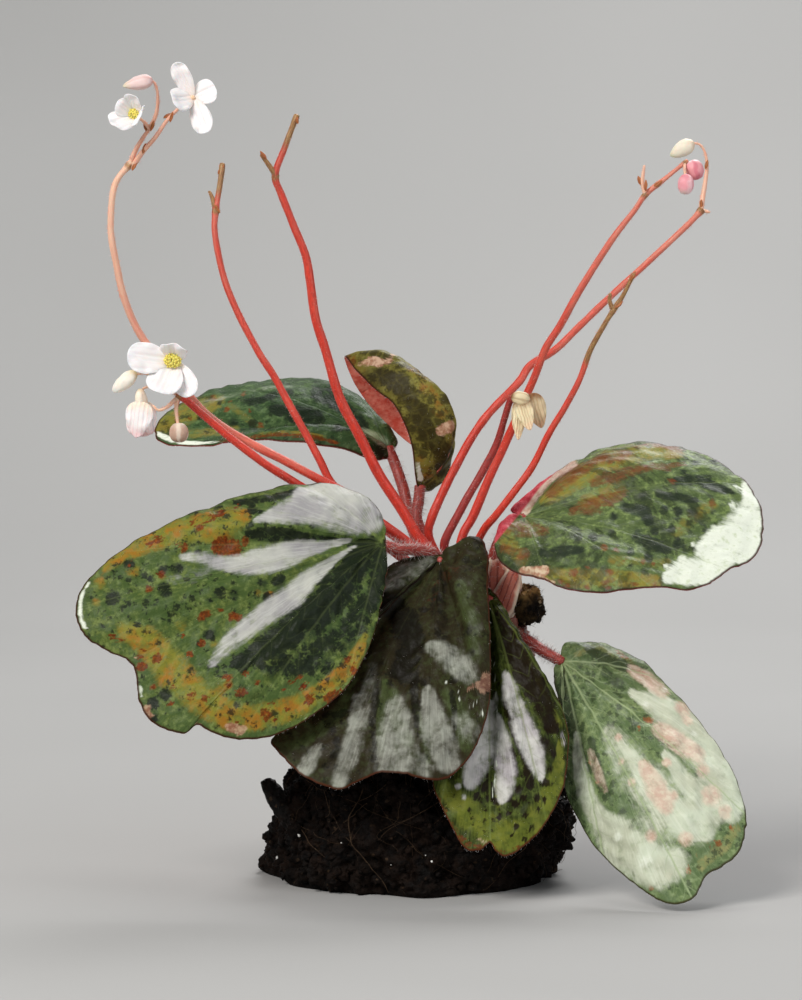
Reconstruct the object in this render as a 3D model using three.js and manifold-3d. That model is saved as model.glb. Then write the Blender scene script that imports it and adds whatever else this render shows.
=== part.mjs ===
// A flowering begonia lifted from its pot: a root ball of peaty soil, the creeping rhizome that stands in
// it, mottled leaves on hairy red petioles, and arching red flower stalks with white flowers, buds and spent
// tips.
// Millimetres, +Z up. The origin is the middle of the flat patch of soil that the root ball stands on.
import * as THREE from 'three';
import { mergeVertices } from 'three/addons/utils/BufferGeometryUtils.js';
import Module from 'manifold-3d';

const wasm = await Module();
wasm.setup();

// Driving dimensions
const BLADE_THICKNESS = 0.8;
const PETAL_THICKNESS = 0.7;
const FIT = 0.3; // gap between pieces that meet
const BLADE_RINGS = [0.22, 0.5, 0.78, 1];
const PETAL_RINGS = [0.5, 1];
const STEM_SIDES = 6;
const STEM_STEP = 6.5;
const PETIOLE_RADII = [2, 1.8, 1.6, 1.5];
const ROOT_BALL = {
  radius: 35,
  height: 46,
  foot: 31,
  shoulder: 0.3,
  skirt: 7.5,
  skirtHeight: 17,
  sides: 36,
  rings: 11,
};

// The drawing board. Every place is [right, up, back]: right and up as an eye in front of the plant sees it
// on a board through the origin, and back as the distance behind that board along the line of sight.
const EYE_DISTANCE = 1000;
const EYE_TILT = THREE.MathUtils.degToRad(4);
const EYE_RIGHT = -6;
const EYE_UP = 93.75;
const BOARD_UP = new THREE.Vector3(0, Math.sin(EYE_TILT), Math.cos(EYE_TILT));
const SIGHT = new THREE.Vector3(0, Math.cos(EYE_TILT), -Math.sin(EYE_TILT));

/** The point of the part's frame that lies at a place on the drawing board. */
function at([right, up, back]) {
  const spread = 1 + back / EYE_DISTANCE;
  return new THREE.Vector3(EYE_RIGHT + (right - EYE_RIGHT) * spread, 0, 0)
    .addScaledVector(BOARD_UP, EYE_UP + (up - EYE_UP) * spread)
    .addScaledVector(SIGHT, back);
}

/** The unit vector of a direction given as [right, up, back] on the board. */
function toward([right, up, back]) {
  const across = new THREE.Vector3(right, 0, 0);
  return across.addScaledVector(BOARD_UP, up).addScaledVector(SIGHT, back).normalize();
}

// Solids

/** A manifold solid from a list of points and a list of triangles. */
function solidFrom(points, triangles) {
  const geometry = new THREE.BufferGeometry().setFromPoints(points).setIndex(triangles.flat());
  const merged = mergeVertices(geometry, 1e-4);
  return new wasm.Manifold(
    new wasm.Mesh({
      numProp: 3,
      vertProperties: merged.attributes.position.array,
      triVerts: new Uint32Array(merged.index.array),
    }),
  );
}

const join = (solids) => solids.reduce((sum, solid) => sum.add(solid));

/** What is left of a solid after the tools are cut away. The scraps that a cut frees are dropped. */
function cut(solid, tools) {
  const left = tools.reduce((rest, tool) => rest.subtract(tool), solid);
  return left.decompose().sort((a, b) => b.volume() - a.volume())[0];
}

/** A closed skin over rings of points, each end closed by a fan from its own middle point. */
function loft(rings, first, last) {
  const sides = rings[0].length;
  const points = [first, ...rings.flat(), last];
  const end = points.length - 1;
  const index = (ring, side) => 1 + ring * sides + (side % sides);
  const triangles = [];
  for (let side = 0; side < sides; side++) {
    triangles.push([0, index(0, side + 1), index(0, side)]);
    triangles.push([end, index(rings.length - 1, side), index(rings.length - 1, side + 1)]);
    for (let ring = 0; ring < rings.length - 1; ring++) {
      const [a, b] = [index(ring, side), index(ring, side + 1)];
      const [c, d] = [index(ring + 1, side), index(ring + 1, side + 1)];
      triangles.push([a, b, d], [a, d, c]);
    }
  }
  return solidFrom(points, triangles);
}

/** A ring of points round a middle, from one cross direction towards the other. */
function ringRound(middle, across, along, sides, reach) {
  return Array.from({ length: sides }, (_, side) => {
    const angle = (2 * Math.PI * side) / sides;
    return middle
      .clone()
      .addScaledVector(across, reach[0] * Math.cos(angle))
      .addScaledVector(along, reach[1] * Math.sin(angle));
  });
}

/** A round stem along a smooth curve through board places, its radius running evenly through the radii. */
function stem(path, radii, { sides = STEM_SIDES, step = STEM_STEP, extra = 0 } = {}) {
  const curve = new THREE.CatmullRomCurve3(path.map(at), false, 'catmullrom', 0.5);
  const steps = Math.max(2, Math.round(curve.getLength() / step));
  const frames = curve.computeFrenetFrames(steps, false);
  const radiusAt = (share) => {
    const place = share * (radii.length - 1);
    const low = Math.min(Math.floor(place), radii.length - 2);
    return THREE.MathUtils.lerp(radii[low], radii[low + 1], place - low) + extra;
  };
  const rings = frames.normals.map((normal, i) => {
    const radius = radiusAt(i / steps);
    return ringRound(curve.getPointAt(i / steps), normal, frames.binormals[i], sides, [radius, radius]);
  });
  const tip = (i, side) =>
    curve.getPointAt(i / steps).addScaledVector(frames.tangents[i], side * 0.5 * radiusAt(i / steps));
  return loft(rings, tip(0, -1), tip(steps, 1));
}

/** An egg-shaped body: a middle, its long axis, the direction of its depth, and [length, width, depth]. */
function pod({ middle, axis, face = [0, 0.3, -1], size }, extra = 0, sides = 8, rings = 6) {
  const along = toward(axis);
  const across = new THREE.Vector3().crossVectors(toward(face), along).normalize();
  const through = new THREE.Vector3().crossVectors(along, across);
  const [length, width, depth] = size.map((value) => value + 2 * extra);
  const place = (share) => at(middle).addScaledVector(along, -length * Math.cos(Math.PI * share) * 0.5);
  const loops = Array.from({ length: rings - 1 }, (_, i) => {
    const share = (i + 1) / rings;
    const girth = Math.sin(Math.PI * share) / 2;
    return ringRound(place(share), across, through, sides, [width * girth, depth * girth]);
  });
  return loft(loops, place(0), place(1));
}

// Blades

/** The mean normal of a closed loop, by Newell's sum. It faces the eye that sees the loop anticlockwise. */
function loopNormal(points) {
  const sum = new THREE.Vector3();
  points.forEach((point, i) => {
    const next = points[(i + 1) % points.length];
    sum.x += (point.y - next.y) * (point.z + next.z);
    sum.y += (point.z - next.z) * (point.x + next.x);
    sum.z += (point.x - next.x) * (point.y + next.y);
  });
  return sum.normalize();
}

/**
 * The middle surface of a thin blade: rings of points round a centre, out to the edge. A radial line bows
 * towards the upper face by its edge point's lift times (4 r (1 - r)) to the power of the fullness, where
 * r is the share of the way out.
 */
function bladeSkin({ centre, edge, lifts, normal, shares, fullness = 1 }) {
  const rings = shares.map((r) =>
    edge.map((point, i) => {
      const bow = lifts[i] * Math.pow(4 * r * (1 - r), fullness);
      return centre.clone().lerp(point, r).addScaledVector(normal, bow);
    }),
  );
  return { centre, rings, normal };
}

/** The unit normal at each point of a skin's rings, from the neighbours round and along the radial line. */
function ringNormals({ centre, rings, normal }) {
  return rings.map((ring, r) =>
    ring.map((_, i) => {
      const count = ring.length;
      const round = ring[(i + 1) % count].clone().sub(ring[(i + count - 1) % count]);
      const inner = r ? rings[r - 1][i] : centre;
      const outer = rings[Math.min(r + 1, rings.length - 1)][i];
      const local = new THREE.Vector3().crossVectors(outer.clone().sub(inner), round);
      return local.lengthSq() > 1e-9 ? local.normalize() : normal.clone();
    }),
  );
}

/** A solid blade of even thickness over a skin, with its two faces split into triangles alike. */
function blade(skin, thickness) {
  const normals = ringNormals(skin);
  const count = skin.rings[0].length;
  const lifted = (point, normal, offset) => point.clone().addScaledVector(normal, offset);
  const face = (offset) => [
    lifted(skin.centre, skin.normal, offset),
    ...skin.rings.flatMap((ring, r) => ring.map((point, i) => lifted(point, normals[r][i], offset))),
  ];
  const upper = face(thickness / 2);
  const lower = face(-thickness / 2);
  const shift = upper.length;
  const index = (ring, i) => 1 + ring * count + (i % count);
  const triangles = [];
  const both = (a, b, c) => triangles.push([a, b, c], [a + shift, c + shift, b + shift]);
  const last = skin.rings.length - 1;
  for (let i = 0; i < count; i++) {
    both(0, index(0, i), index(0, i + 1));
    for (let ring = 0; ring < last; ring++) {
      both(index(ring, i), index(ring + 1, i), index(ring + 1, i + 1));
      both(index(ring, i), index(ring + 1, i + 1), index(ring, i + 1));
    }
    const [a, b] = [index(last, i), index(last, i + 1)];
    triangles.push([a, a + shift, b + shift], [a, b + shift, b]);
  }
  return solidFrom([...upper, ...lower], triangles);
}

/**
 * The skin of a leaf. Its rim runs anticlockwise as seen from the upper face: [right, up, back, lift]. An
 * extra width sets its edge further out from the joint.
 */
function leafSkin({ joint, rim, rise, fullness }, extra = 0) {
  const loop = rim.map(at);
  const count = rim.length * 2;
  const closed = (points) => new THREE.CatmullRomCurve3(points, true, 'catmullrom', 0.5);
  const edge = closed(loop);
  const lift = closed(rim.map((place, i) => new THREE.Vector3(i, place[3], 0)));
  const shares = Array.from({ length: count }, (_, i) => i / count);
  const centre = at(joint);
  const outgrown = (point) => point.clone().addScaledVector(point.clone().sub(centre).normalize(), extra);
  return bladeSkin({
    centre,
    edge: shares.map((share) => outgrown(edge.getPoint(share))),
    lifts: shares.map((share) => lift.getPoint(share).y),
    normal: rise ? toward(rise) : loopNormal(loop),
    shares: BLADE_RINGS,
    fullness,
  });
}

/**
 * The skin of a petal that grows from a base along an axis, with its upper face towards a direction. At a
 * share u of its length it is half as wide as width / 2 * sin(turn) * (0.62 + 0.55 u), and it stands
 * cup * u * u proud of its axis. A point tip narrows the far half.
 */
function petalSkin({ base, axis, face, length, width, cup = 0.8, pointed = false }) {
  const along = toward(axis);
  const side = new THREE.Vector3().crossVectors(along, toward(face)).normalize();
  const normal = new THREE.Vector3().crossVectors(side, along);
  const start = at(base);
  const count = 10;
  const edge = Array.from({ length: count }, (_, i) => {
    const turn = (2 * Math.PI * i) / count;
    const u = (1 - Math.cos(turn)) / 2;
    const half = (width / 2) * Math.sin(turn) * (pointed ? 1.25 - 0.7 * u : 0.62 + 0.55 * u);
    return start
      .clone()
      .addScaledVector(along, length * u)
      .addScaledVector(side, half)
      .addScaledVector(normal, cup * u * u);
  });
  const centre = start.addScaledVector(along, length * 0.4).addScaledVector(normal, cup * 0.1);
  return bladeSkin({ centre, edge, lifts: edge.map(() => -0.1 * cup), normal, shares: PETAL_RINGS });
}

// Leaves
const LEAVES = {
  leaf_1: {
    joint: [-10.5, 83, -24],
    rim: [
      [-9.8, 84.3, -24, 0.5], [-10.2, 87.6, -22.5, 1], [-12.5, 92.6, -20.5, 2], [-20, 96.8, -18.5, 3],
      [-30, 97.8, -18, 3.5], [-41, 96, -19, 4.5], [-52.5, 92.4, -21, 5], [-65, 87.4, -24, 4.5],
      [-76.6, 80.6, -27, 2.5], [-84.5, 73.4, -30, 1.8], [-87.3, 66.6, -32, 3.5], [-85, 60, -34.5, 5],
      [-79.3, 56, -36, 4.5], [-73.8, 53.4, -37.5, 3.5], [-72, 49.5, -39, 2.5], [-71.3, 43.3, -41, 3],
      [-67.8, 38, -43, 4.5], [-60.5, 35.5, -44.5, 6], [-56.8, 37.6, -44, 7], [-53.3, 35.8, -45, 7.5],
      [-46.3, 34, -46, 6], [-37.5, 35, -46, 3.5], [-28.8, 39.5, -45, 2.5], [-20, 46.6, -42.5, 2],
      [-14.5, 55.8, -39, 1.5], [-11.3, 65.8, -34, 1], [-9.8, 76, -28, 0.5], [-9.7, 81.3, -25, 0.3],
    ],
    petiole: [
      [9, 71.5, -2.5], [6, 77, -6.2], [2.6, 81, -8.4], [-2, 82.5, -14.5], [-6.5, 82.3, -20.5],
      [-10.5, 83, -24],
    ],
  },
  leaf_2: {
    joint: [3.8, 79, -13],
    rim: [
      [3, 80, -12.6, 0], [-3, 79, -11, 1], [-9, 76.8, -12, 2], [-13.5, 70.5, -17, 2.5],
      [-18, 59, -24, 3], [-25.5, 46.5, -31, 3.5], [-33, 38.5, -36, 4], [-38.5, 33.8, -39, 3],
      [-35, 29.2, -41.5, 2], [-30, 24.6, -44, 3.5], [-22, 21.5, -46, 5], [-18, 22.7, -46, 4.5],
      [-13, 25, -46.5, 3], [-6.3, 25.6, -47.5, 3.5], [1.3, 23.8, -48, 5], [6.5, 24.8, -47.5, 5],
      [11.5, 30, -46, 3.5], [15, 38.3, -43, 3], [16.4, 46.3, -39.5, 3.5], [16.3, 58.8, -33, 3],
      [15.8, 71, -25, 2], [15.7, 80, -18, 1.5], [13.5, 84.6, -14, 1], [9.3, 83.3, -13, 0.5],
      [5.5, 81, -13, 0],
    ],
    petiole: [[13, 65.5, -3], [10, 68, -9], [6.4, 72.5, -12.6], [3.8, 79, -13]],
  },
  leaf_3: {
    joint: [15.8, 69.5, -17],
    rim: [
      [15.3, 71, -17, 0], [14, 62, -20, 1], [11, 50, -28, 2], [7, 38, -34, 2.5],
      [3, 28, -38, 2.5], [2, 22.6, -40, 2], [4, 17.6, -41.5, 3], [7.3, 11, -43, 4],
      [10, 6.8, -44, 3.5], [13.5, 6.2, -44.5, 2], [16.2, 8, -44.5, 1], [18, 5.8, -45, 1.5],
      [20.8, 4.9, -45, 3], [25.4, 7.8, -44, 4.5], [30.4, 13.4, -42, 4], [34.2, 21.3, -39, 4],
      [35.9, 31.3, -35, 4], [34.7, 40.8, -31, 3], [30.2, 49.6, -26.5, 2.5], [24.2, 59, -21.5, 1.5],
      [20, 66.3, -18, 0.5], [17, 71, -17, 0],
    ],
    petiole: [[17, 63, -4], [16.5, 62.5, -11], [16, 65.5, -15], [15.8, 69.5, -17]],
  },
  leaf_4: {
    joint: [34.3, 53.2, -10],
    rim: [
      [33.3, 53.8, -10, 0], [32.3, 50.6, -11, 0.5], [33, 43.5, -15, 1.5], [34.8, 33.5, -21, 2.5],
      [35, 22.5, -27, 3.5], [37.8, 14.6, -31, 3], [44.4, 4.8, -39, 3], [53.2, -2.8, -48, 4],
      [60.5, -7, -53, 4], [66.8, -6, -53, 3], [70.2, -0.2, -50, 3], [74.6, 2.4, -47, 4],
      [78.7, 6.3, -43, 4.5], [80.2, 15, -36, 4], [77.4, 25, -27, 3.5], [70, 36.6, -21, 3.5],
      [60.3, 48, -14.5, 3], [51.3, 55.2, -10, 2.5], [42.5, 58.3, -7.5, 1.5], [36, 57.6, -8, 1],
      [34, 55.2, -9.3, 0],
    ],
    petiole: [[19, 60.5, -2], [24.3, 59.3, -5], [29.5, 56, -8.5], [34.3, 53.2, -10]],
  },
  leaf_5: {
    joint: [25, 89.3, -11],
    rim: [
      [23.4, 89.5, -11, 0], [20, 88.8, -14, 1], [17.6, 85, -18, 1.5], [18, 79.6, -23, 2],
      [22.3, 75.8, -28, 2.5], [30, 73.8, -33, 3], [34.3, 71.8, -36, 3], [43.8, 70.6, -39, 4],
      [56.3, 72, -41, 4.5], [66.3, 71.4, -42, 4], [71.8, 73.4, -41, 3.5], [75.5, 76, -39, 4],
      [83, 80.4, -34, 4.5], [84.3, 90, -26, 4], [80.5, 97.8, -18, 4], [71.8, 104, -10, 4.5],
      [59.3, 107.8, -3, 4], [48.5, 107.6, 0, 3], [41, 105, 0, 2], [35.5, 102.5, -2, 1],
      [30.8, 99.4, -4, 0.5], [25.6, 95.4, -7, 0.3], [21.4, 91.4, -9.5, 0],
    ],
    petiole: [[17, 69, -1], [17.2, 78, -4.5], [18.7, 84, -7.5], [21.5, 87.6, -9.2], [25, 89.3, -11]],
  },
  leaf_6: {
    joint: [-9.3, 106.8, 30],
    rim: [
      [-7.8, 106.5, 31, 0], [-7, 109, 34, 1], [-9.5, 112.8, 40, 2], [-14, 117, 48, 3],
      [-20, 121, 55, 4], [-29, 123.8, 60, 5], [-41, 123.4, 61, 5], [-54, 121, 57, 5],
      [-64.5, 115.5, 49, 4], [-67.3, 110.5, 42, 3], [-65, 107.8, 36, 3], [-56, 107.2, 30, 4],
      [-45, 108.8, 24, 5], [-37, 108.6, 21, 5], [-28, 107.8, 19, 4], [-20, 106.4, 20, 3],
      [-13.5, 104, 24, 2], [-9.7, 104.2, 28, 1],
    ],
    petiole: [
      [7, 69, 17], [0.5, 79, 19.5], [-3.8, 89, 23], [-5.2, 96, 26], [-7.4, 102.6, 28.6],
      [-9.3, 106.8, 30],
    ],
  },
  leaf_7: {
    joint: [-1.2, 97.3, 18],
    rise: [0.82, 0.52, -0.25],
    fullness: 0.5,
    rim: [
      [-0.6, 96.3, 19, 1], [3, 97.5, 23, 4], [2, 102.5, 29, 7], [-2, 106.5, 33, 11],
      [-6.5, 110.3, 35, 12.8], [-11.5, 115, 35, 15.2], [-16, 120.6, 33, 17.5], [-19.4, 127, 28, 16],
      [-19.8, 129.6, 24, 15], [-17, 126, 19, 15.5], [-12.5, 121.6, 14.5, 16], [-8, 118, 12, 13.5],
      [-5, 112.6, 11, 11.8], [-3.2, 107, 12, 9.5], [-2.6, 102, 14, 6.5], [-2.1, 98, 16.5, 2.5],
    ],
    petiole: [[6.5, 71.5, 13.6], [1.4, 80, 14.4], [-2, 88.5, 15.7], [-1.6, 93.5, 17.3], [-1.2, 97.3, 18]],
  },
};

// Flowers. A petal's base lies in the heart, whose place is the flower's.
const FLOWERS = {
  flower_1: {
    heart: { middle: [-58, 194.3, -30.1], axis: [0, 0, 1], size: [2.6, 2.4, 2.4] },
    face: [-0.25, 0.15, -1],
    petals: [
      { axis: [-0.44, 0.88, -0.15], length: 9.5, width: 4.8 },
      { axis: [-1, -0.25, -0.75], length: 6.6, width: 6.8 },
      { axis: [1, 0.42, 0.1], length: 5.9, width: 6.8 },
      { axis: [0.36, -0.9, -0.25], length: 9.9, width: 5.7 },
    ],
  },
  flower_2: {
    heart: { middle: [-72.4, 190, -32], axis: [0, 0, 1], size: [2.6, 2.4, 2.4] },
    face: [-0.35, 0.2, -0.9],
    petals: [
      { axis: [-0.1, 1, -0.8], length: 6.6, width: 4.6 },
      { axis: [-0.95, 0.55, -0.6], length: 6, width: 5.2 },
      { axis: [-0.8, -0.45, -0.6], length: 7.6, width: 7 },
      { axis: [0.5, -0.3, -1], length: 4.6, width: 6.4 },
    ],
    stamens: 2.4,
  },
  flower_3: {
    heart: { middle: [-62.8, 128.4, -21.5], axis: [0, 0, 1], size: [3, 2.8, 2.8] },
    face: [-0.1, 0.3, -1],
    petals: [
      { axis: [-1, 0.1, -0.2], length: 11.2, width: 7.8 },
      { axis: [-0.22, -1, -0.55], length: 9.6, width: 7.6 },
      { axis: [0.5, -0.85, -0.3], length: 9.8, width: 5.6 },
      { axis: [0.05, 1, -0.9], length: 6.2, width: 7.2 },
    ],
    stamens: 3.2,
  },
  flower_4: {
    heart: { middle: [-71, 118.8, -20.5], axis: [-0.1, 1, 0], size: [5.6, 3.2, 3] },
    face: [0.1, 0, 1],
    rootShift: [0.4, -0.6, 0],
    petals: [
      { axis: [-0.2, -1, -0.25], length: 9, width: 8, cup: 1.2 },
      { axis: [-0.1, -1, 0.3], length: 8.4, width: 7.6, face: [0, 0, -1], cup: 1.2 },
      { axis: [-0.75, -1, 0], length: 7.6, width: 5.4, face: [1, -0.5, 0.6], cup: 1 },
      { axis: [0.35, -1, 0], length: 8, width: 5.4, face: [-1, -0.3, 0.6], cup: 1 },
    ],
  },
};

const BUDS = {
  bud_1: { middle: [-71.8, 198, -34.1], axis: [1, 0.22, 0], size: [7.2, 3.6, 3.4] },
  bud_2: { middle: [-75.1, 123.3, -21.6], axis: [0.78, 0.66, 0], size: [7.6, 3.6, 3.4] },
  bud_3: { middle: [-61.5, 110.6, -20.5], axis: [0, 1, 0], size: [4.8, 5.2, 4.8] },
  bud_4: { middle: [64.3, 181.5, 21.6], axis: [0.88, 0.5, 0], size: [6.8, 4.2, 4] },
  bud_5: { middle: [67.4, 176.3, -12.7], axis: [-0.3, 1, 0], size: [5, 4.8, 4.4] },
  bud_6: { middle: [65.2, 172.7, -16.8], axis: [0.1, 1, 0], size: [5, 4.4, 4.2] },
};

const CAPSULE = {
  heart: { middle: [24, 119.2, -10], axis: [1, -0.2, 0], size: [5, 3.6, 3.6] },
  face: [0, -0.3, -1],
  petals: [
    { axis: [-0.08, -1, -0.2], length: 10.8, width: 3.4, pointed: true },
    { axis: [0.28, -1, -0.4], length: 9.2, width: 4.4, pointed: true },
    { axis: [-0.2, -1, 0.35], length: 8.2, width: 3.4, pointed: true },
    { base: [26.6, 120.4, -10.6], axis: [0.3, -1, 0.2], length: 9.2, width: 5.4, pointed: true, cup: -1 },
  ],
};

// Flower stalks: the main path and its side branches, the radii from foot to tip, the small bracts at its
// joints, and the flowers and buds that it carries.
const STALKS = {
  stalk_1: {
    path: [
      [6.5, 74.5, 1.2], [2, 77.8, -1.2], [-2, 80.9, -3], [-5.3, 83.8, -4], [-11, 88, -7], [-20, 95.3, -11],
      [-33.3, 102.6, -12], [-47.2, 109.9, -12.5], [-55.4, 116, -13], [-64.4, 126.8, -14],
      [-70.8, 134.6, -15.7], [-75, 143.6, -19], [-77.8, 156, -22.7], [-78.5, 164, -24.3], [-77.6, 172.6, -26],
      [-73.5, 178, -26.9], [-70, 184.8, -28.2], [-68.2, 187, -28.5],
    ],
    radii: [1.7, 1.5, 1.4, 1.35, 1.25, 1.1],
    branches: [
      {
        path: [
          [-68.8, 186, -28.5], [-67, 190.8, -30.2], [-67, 194.6, -32.2], [-68.4, 197.6, -33.6],
          [-70, 198.2, -34.1],
        ],
        radii: [0.8, 0.6, 0.5],
      },
      { path: [[-68.8, 186, -28.5], [-70.2, 188.4, -29.6], [-71.6, 189.6, -30.7]], radii: [0.8, 0.6] },
      {
        path: [[-69, 186, -28.4], [-66.3, 188.4, -28.6], [-61.6, 192, -28.7], [-58.8, 193.6, -28.3]],
        radii: [0.9, 0.75, 0.7],
      },
    ],
    bracts: [
      { middle: [-68.4, 187, -30.2], axis: [0.3, 1, 0] },
      { middle: [-64.2, 189.8, -28.2], axis: [0.9, 0.5, 0] },
      { middle: [-70.8, 182, -27.9], axis: [0.3, 1, 0] },
    ],
    carries: ['flower_1', 'flower_2', 'bud_1'],
  },
  stalk_2: {
    path: [
      [5, 72, -1.5], [-1, 76, -4.5], [-10, 82.4, -7.5], [-20, 89.8, -9], [-30.5, 97, -12.5], [-38.8, 102, -16],
      [-49, 109.6, -17.5], [-56.8, 116.2, -18], [-61.5, 120.6, -18.5],
    ],
    radii: [1.6, 1.4, 1.4, 1.3],
    branches: [
      { path: [[-61, 120.2, -18.5], [-61.6, 124.4, -19], [-62.6, 128, -20.5]], radii: [0.9, 0.7] },
      {
        path: [[-61.4, 119.8, -18.5], [-66, 123.4, -19], [-70, 125.4, -20.4], [-73.4, 124.8, -21.4]],
        radii: [0.7, 0.5],
      },
      { path: [[-61.4, 119.8, -18.5], [-66.5, 122.6, -19.6], [-70.6, 121.6, -20.4]], radii: [0.7, 0.5] },
      {
        path: [[-61.8, 119.4, -18.5], [-64.4, 117, -19.5], [-66.6, 116.2, -20], [-67.8, 117.4, -20]],
        radii: [0.8, 0.5],
      },
      { path: [[-61.8, 119.6, -18.5], [-62.2, 116.4, -19.5], [-61.7, 112, -20.5]], radii: [0.8, 0.6] },
    ],
    bracts: [{ middle: [-61.8, 118, -19], axis: [-0.1, -1, -0.2] }],
    carries: ['flower_3', 'flower_4', 'bud_2', 'bud_3'],
  },
  stalk_3: {
    path: [
      [6, 72.5, 8], [0, 79, 6.8], [-10, 86.4, 7], [-21.8, 96.4, 6.5], [-26.3, 103.8, 7.3], [-30.8, 111.8, 8.9],
      [-36.6, 122.8, 10.6], [-42, 131.3, 11.3], [-48, 143.3, 13.1], [-50.8, 151.3, 14.3], [-52.4, 159.8, 15],
      [-52.5, 164.5, 15.4], [-51.4, 172, 16.4], [-50.6, 177.8, 17.6],
    ],
    radii: [1.5, 1.3, 1.25, 1.2, 1],
    branches: [{ path: [[-52.4, 166, 15.7], [-53.2, 169.2, 16], [-54, 171, 16.2]], radii: [1.1, 0.7] }],
    bracts: [
      { middle: [-51, 176.4, 16.8], axis: [0.6, 1, 0] },
      { middle: [-52, 166.6, 14.8], axis: [-0.7, 1, 0] },
    ],
    carries: [],
  },
  stalk_4: {
    path: [
      [7.2, 75, 4.8], [1.7, 80.6, 2.7], [-1.8, 84.8, 2.4], [-5.3, 90.5, 2], [-11.5, 100.3, 1], [-17, 110.8, -1],
      [-21.5, 120, -2.8], [-24.8, 131, -4.8], [-27.3, 139, -6.1], [-28.8, 148.5, -7.3], [-30, 155.3, -8.3],
      [-33, 162.8, -9.6], [-36, 170.3, -10.2], [-37.4, 175, -10.7], [-35, 182, -10.8], [-32, 190, -11],
    ],
    radii: [1.7, 1.7, 1.6, 1.5, 1.35, 1],
    branches: [
      { path: [[-37, 174.4, -10.6], [-38.8, 177.2, -11.2], [-41, 180.2, -11.7]], radii: [1.1, 0.8] },
    ],
    bracts: [
      { middle: [-40.4, 180, -12.1], axis: [-0.8, 1, 0] },
      { middle: [-32, 189, -11.5], axis: [-0.2, 1, 0] },
    ],
    carries: [],
  },
  stalk_5: {
    path: [
      [8.8, 73, 11.3], [3.6, 79.2, 10.6], [0.9, 84.6, 10.4], [1.6, 89.2, 10.2], [4, 94.8, 10.5], [9, 105, 11],
      [13.3, 111.8, 11], [18, 117.8, 11.5], [23.5, 123.3, 12.8], [26.3, 127.4, 14.3], [32.5, 131.2, 15.5],
      [38.8, 137.4, 16.4], [49, 147, 18.4], [59.8, 157, 19.5], [65.6, 162.4, 19.7], [69.2, 166.4, 20.4],
    ],
    radii: [1.5, 1.4, 1.35, 1.2, 1.1],
    branches: [
      {
        path: [
          [68.9, 166, 20.3], [69.8, 171.8, 21.6], [70.5, 177.4, 21.8], [69.9, 181, 21.8], [68.6, 182.7, 21.6],
          [66.4, 182.9, 21.6],
        ],
        radii: [1, 0.9, 0.6, 0.5],
      },
      { path: [[69, 166.2, 20.4], [71.3, 165.7, 20.2]], radii: [0.9, 0.6] },
    ],
    bracts: [
      { middle: [69, 167.6, 19.8], axis: [0.1, 1, 0] },
      { middle: [70.4, 177.6, 21], axis: [0.3, 1, 0] },
    ],
    carries: ['bud_4'],
  },
  stalk_6: {
    path: [
      [11.5, 74.5, 3], [9, 81, 4.2], [9.5, 85.3, 4.5], [12, 89.8, 4.5], [15.6, 98.3, 4], [19.8, 107.5, 3],
      [23.5, 116, 0.3], [27, 123.8, -2.1], [30, 131.3, -4.5], [33.8, 137.5, -6.2], [38.8, 146.3, -8.7],
      [44.8, 155.8, -10.8], [48, 160.5, -11.9], [52.3, 166, -13], [55.4, 170.4, -14], [60.4, 174.4, -14],
      [65.6, 178.6, -13],
    ],
    radii: [1.5, 1.4, 1.3, 1.2, 0.7],
    branches: [
      { path: [[55.2, 170, -14], [54.4, 173.4, -14.4], [54.9, 177.4, -14.9]], radii: [0.9, 0.6] },
      { path: [[65, 178, -13.1], [65, 176, -15.7], [65.2, 174, -16.8]], radii: [0.6, 0.5] },
    ],
    bracts: [
      { middle: [55.2, 172.4, -15.3], axis: [0, 1, 0] },
      { middle: [58.2, 172.8, -14.7], axis: [0.8, 0.6, 0] },
      { middle: [53.6, 173.6, -14.4], axis: [-0.3, 1, 0] },
    ],
    carries: ['bud_5', 'bud_6'],
  },
  stalk_7: {
    path: [
      [10, 75, -0.5], [6, 79.6, -1.8], [4.9, 83.4, -3], [9.5, 92.3, -4], [14.3, 100.8, -4.5], [18, 108, -5.5],
      [19.8, 114, -7], [21.2, 118.4, -8.6], [22.4, 119.4, -9.4],
    ],
    radii: [1.4, 1.35, 1.2],
    branches: [],
    bracts: [],
    carries: ['dry_capsule'],
  },
  stalk_8: {
    path: [
      [13, 73.5, -3], [12.4, 80.5, -5], [14.6, 86.2, -8.5], [18, 90.4, -11.5], [22.8, 96.4, -13],
      [27, 102.5, -13.5], [31.3, 110.8, -15.2], [35, 117, -16.9], [38.5, 123.8, -18.6], [41.3, 131.3, -20.4],
      [44.8, 137.5, -21.9], [47.4, 141.6, -22.9], [49.6, 145, -23.8], [52.3, 150.3, -25.1],
    ],
    radii: [1.4, 1.2, 1.1, 1, 0.7],
    branches: [
      { path: [[47, 141, -22.8], [46.2, 143.6, -23.4], [46.4, 145.4, -23.9]], radii: [0.9, 0.7] },
    ],
    bracts: [
      { middle: [48.4, 142.6, -23.8], axis: [1, 0.9, 0] },
      { middle: [52, 149.8, -25.4], axis: [0.6, 1, 0] },
    ],
    carries: [],
  },
};
const BRACT_SIZE = [3.4, 1.5, 1.1];

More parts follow.
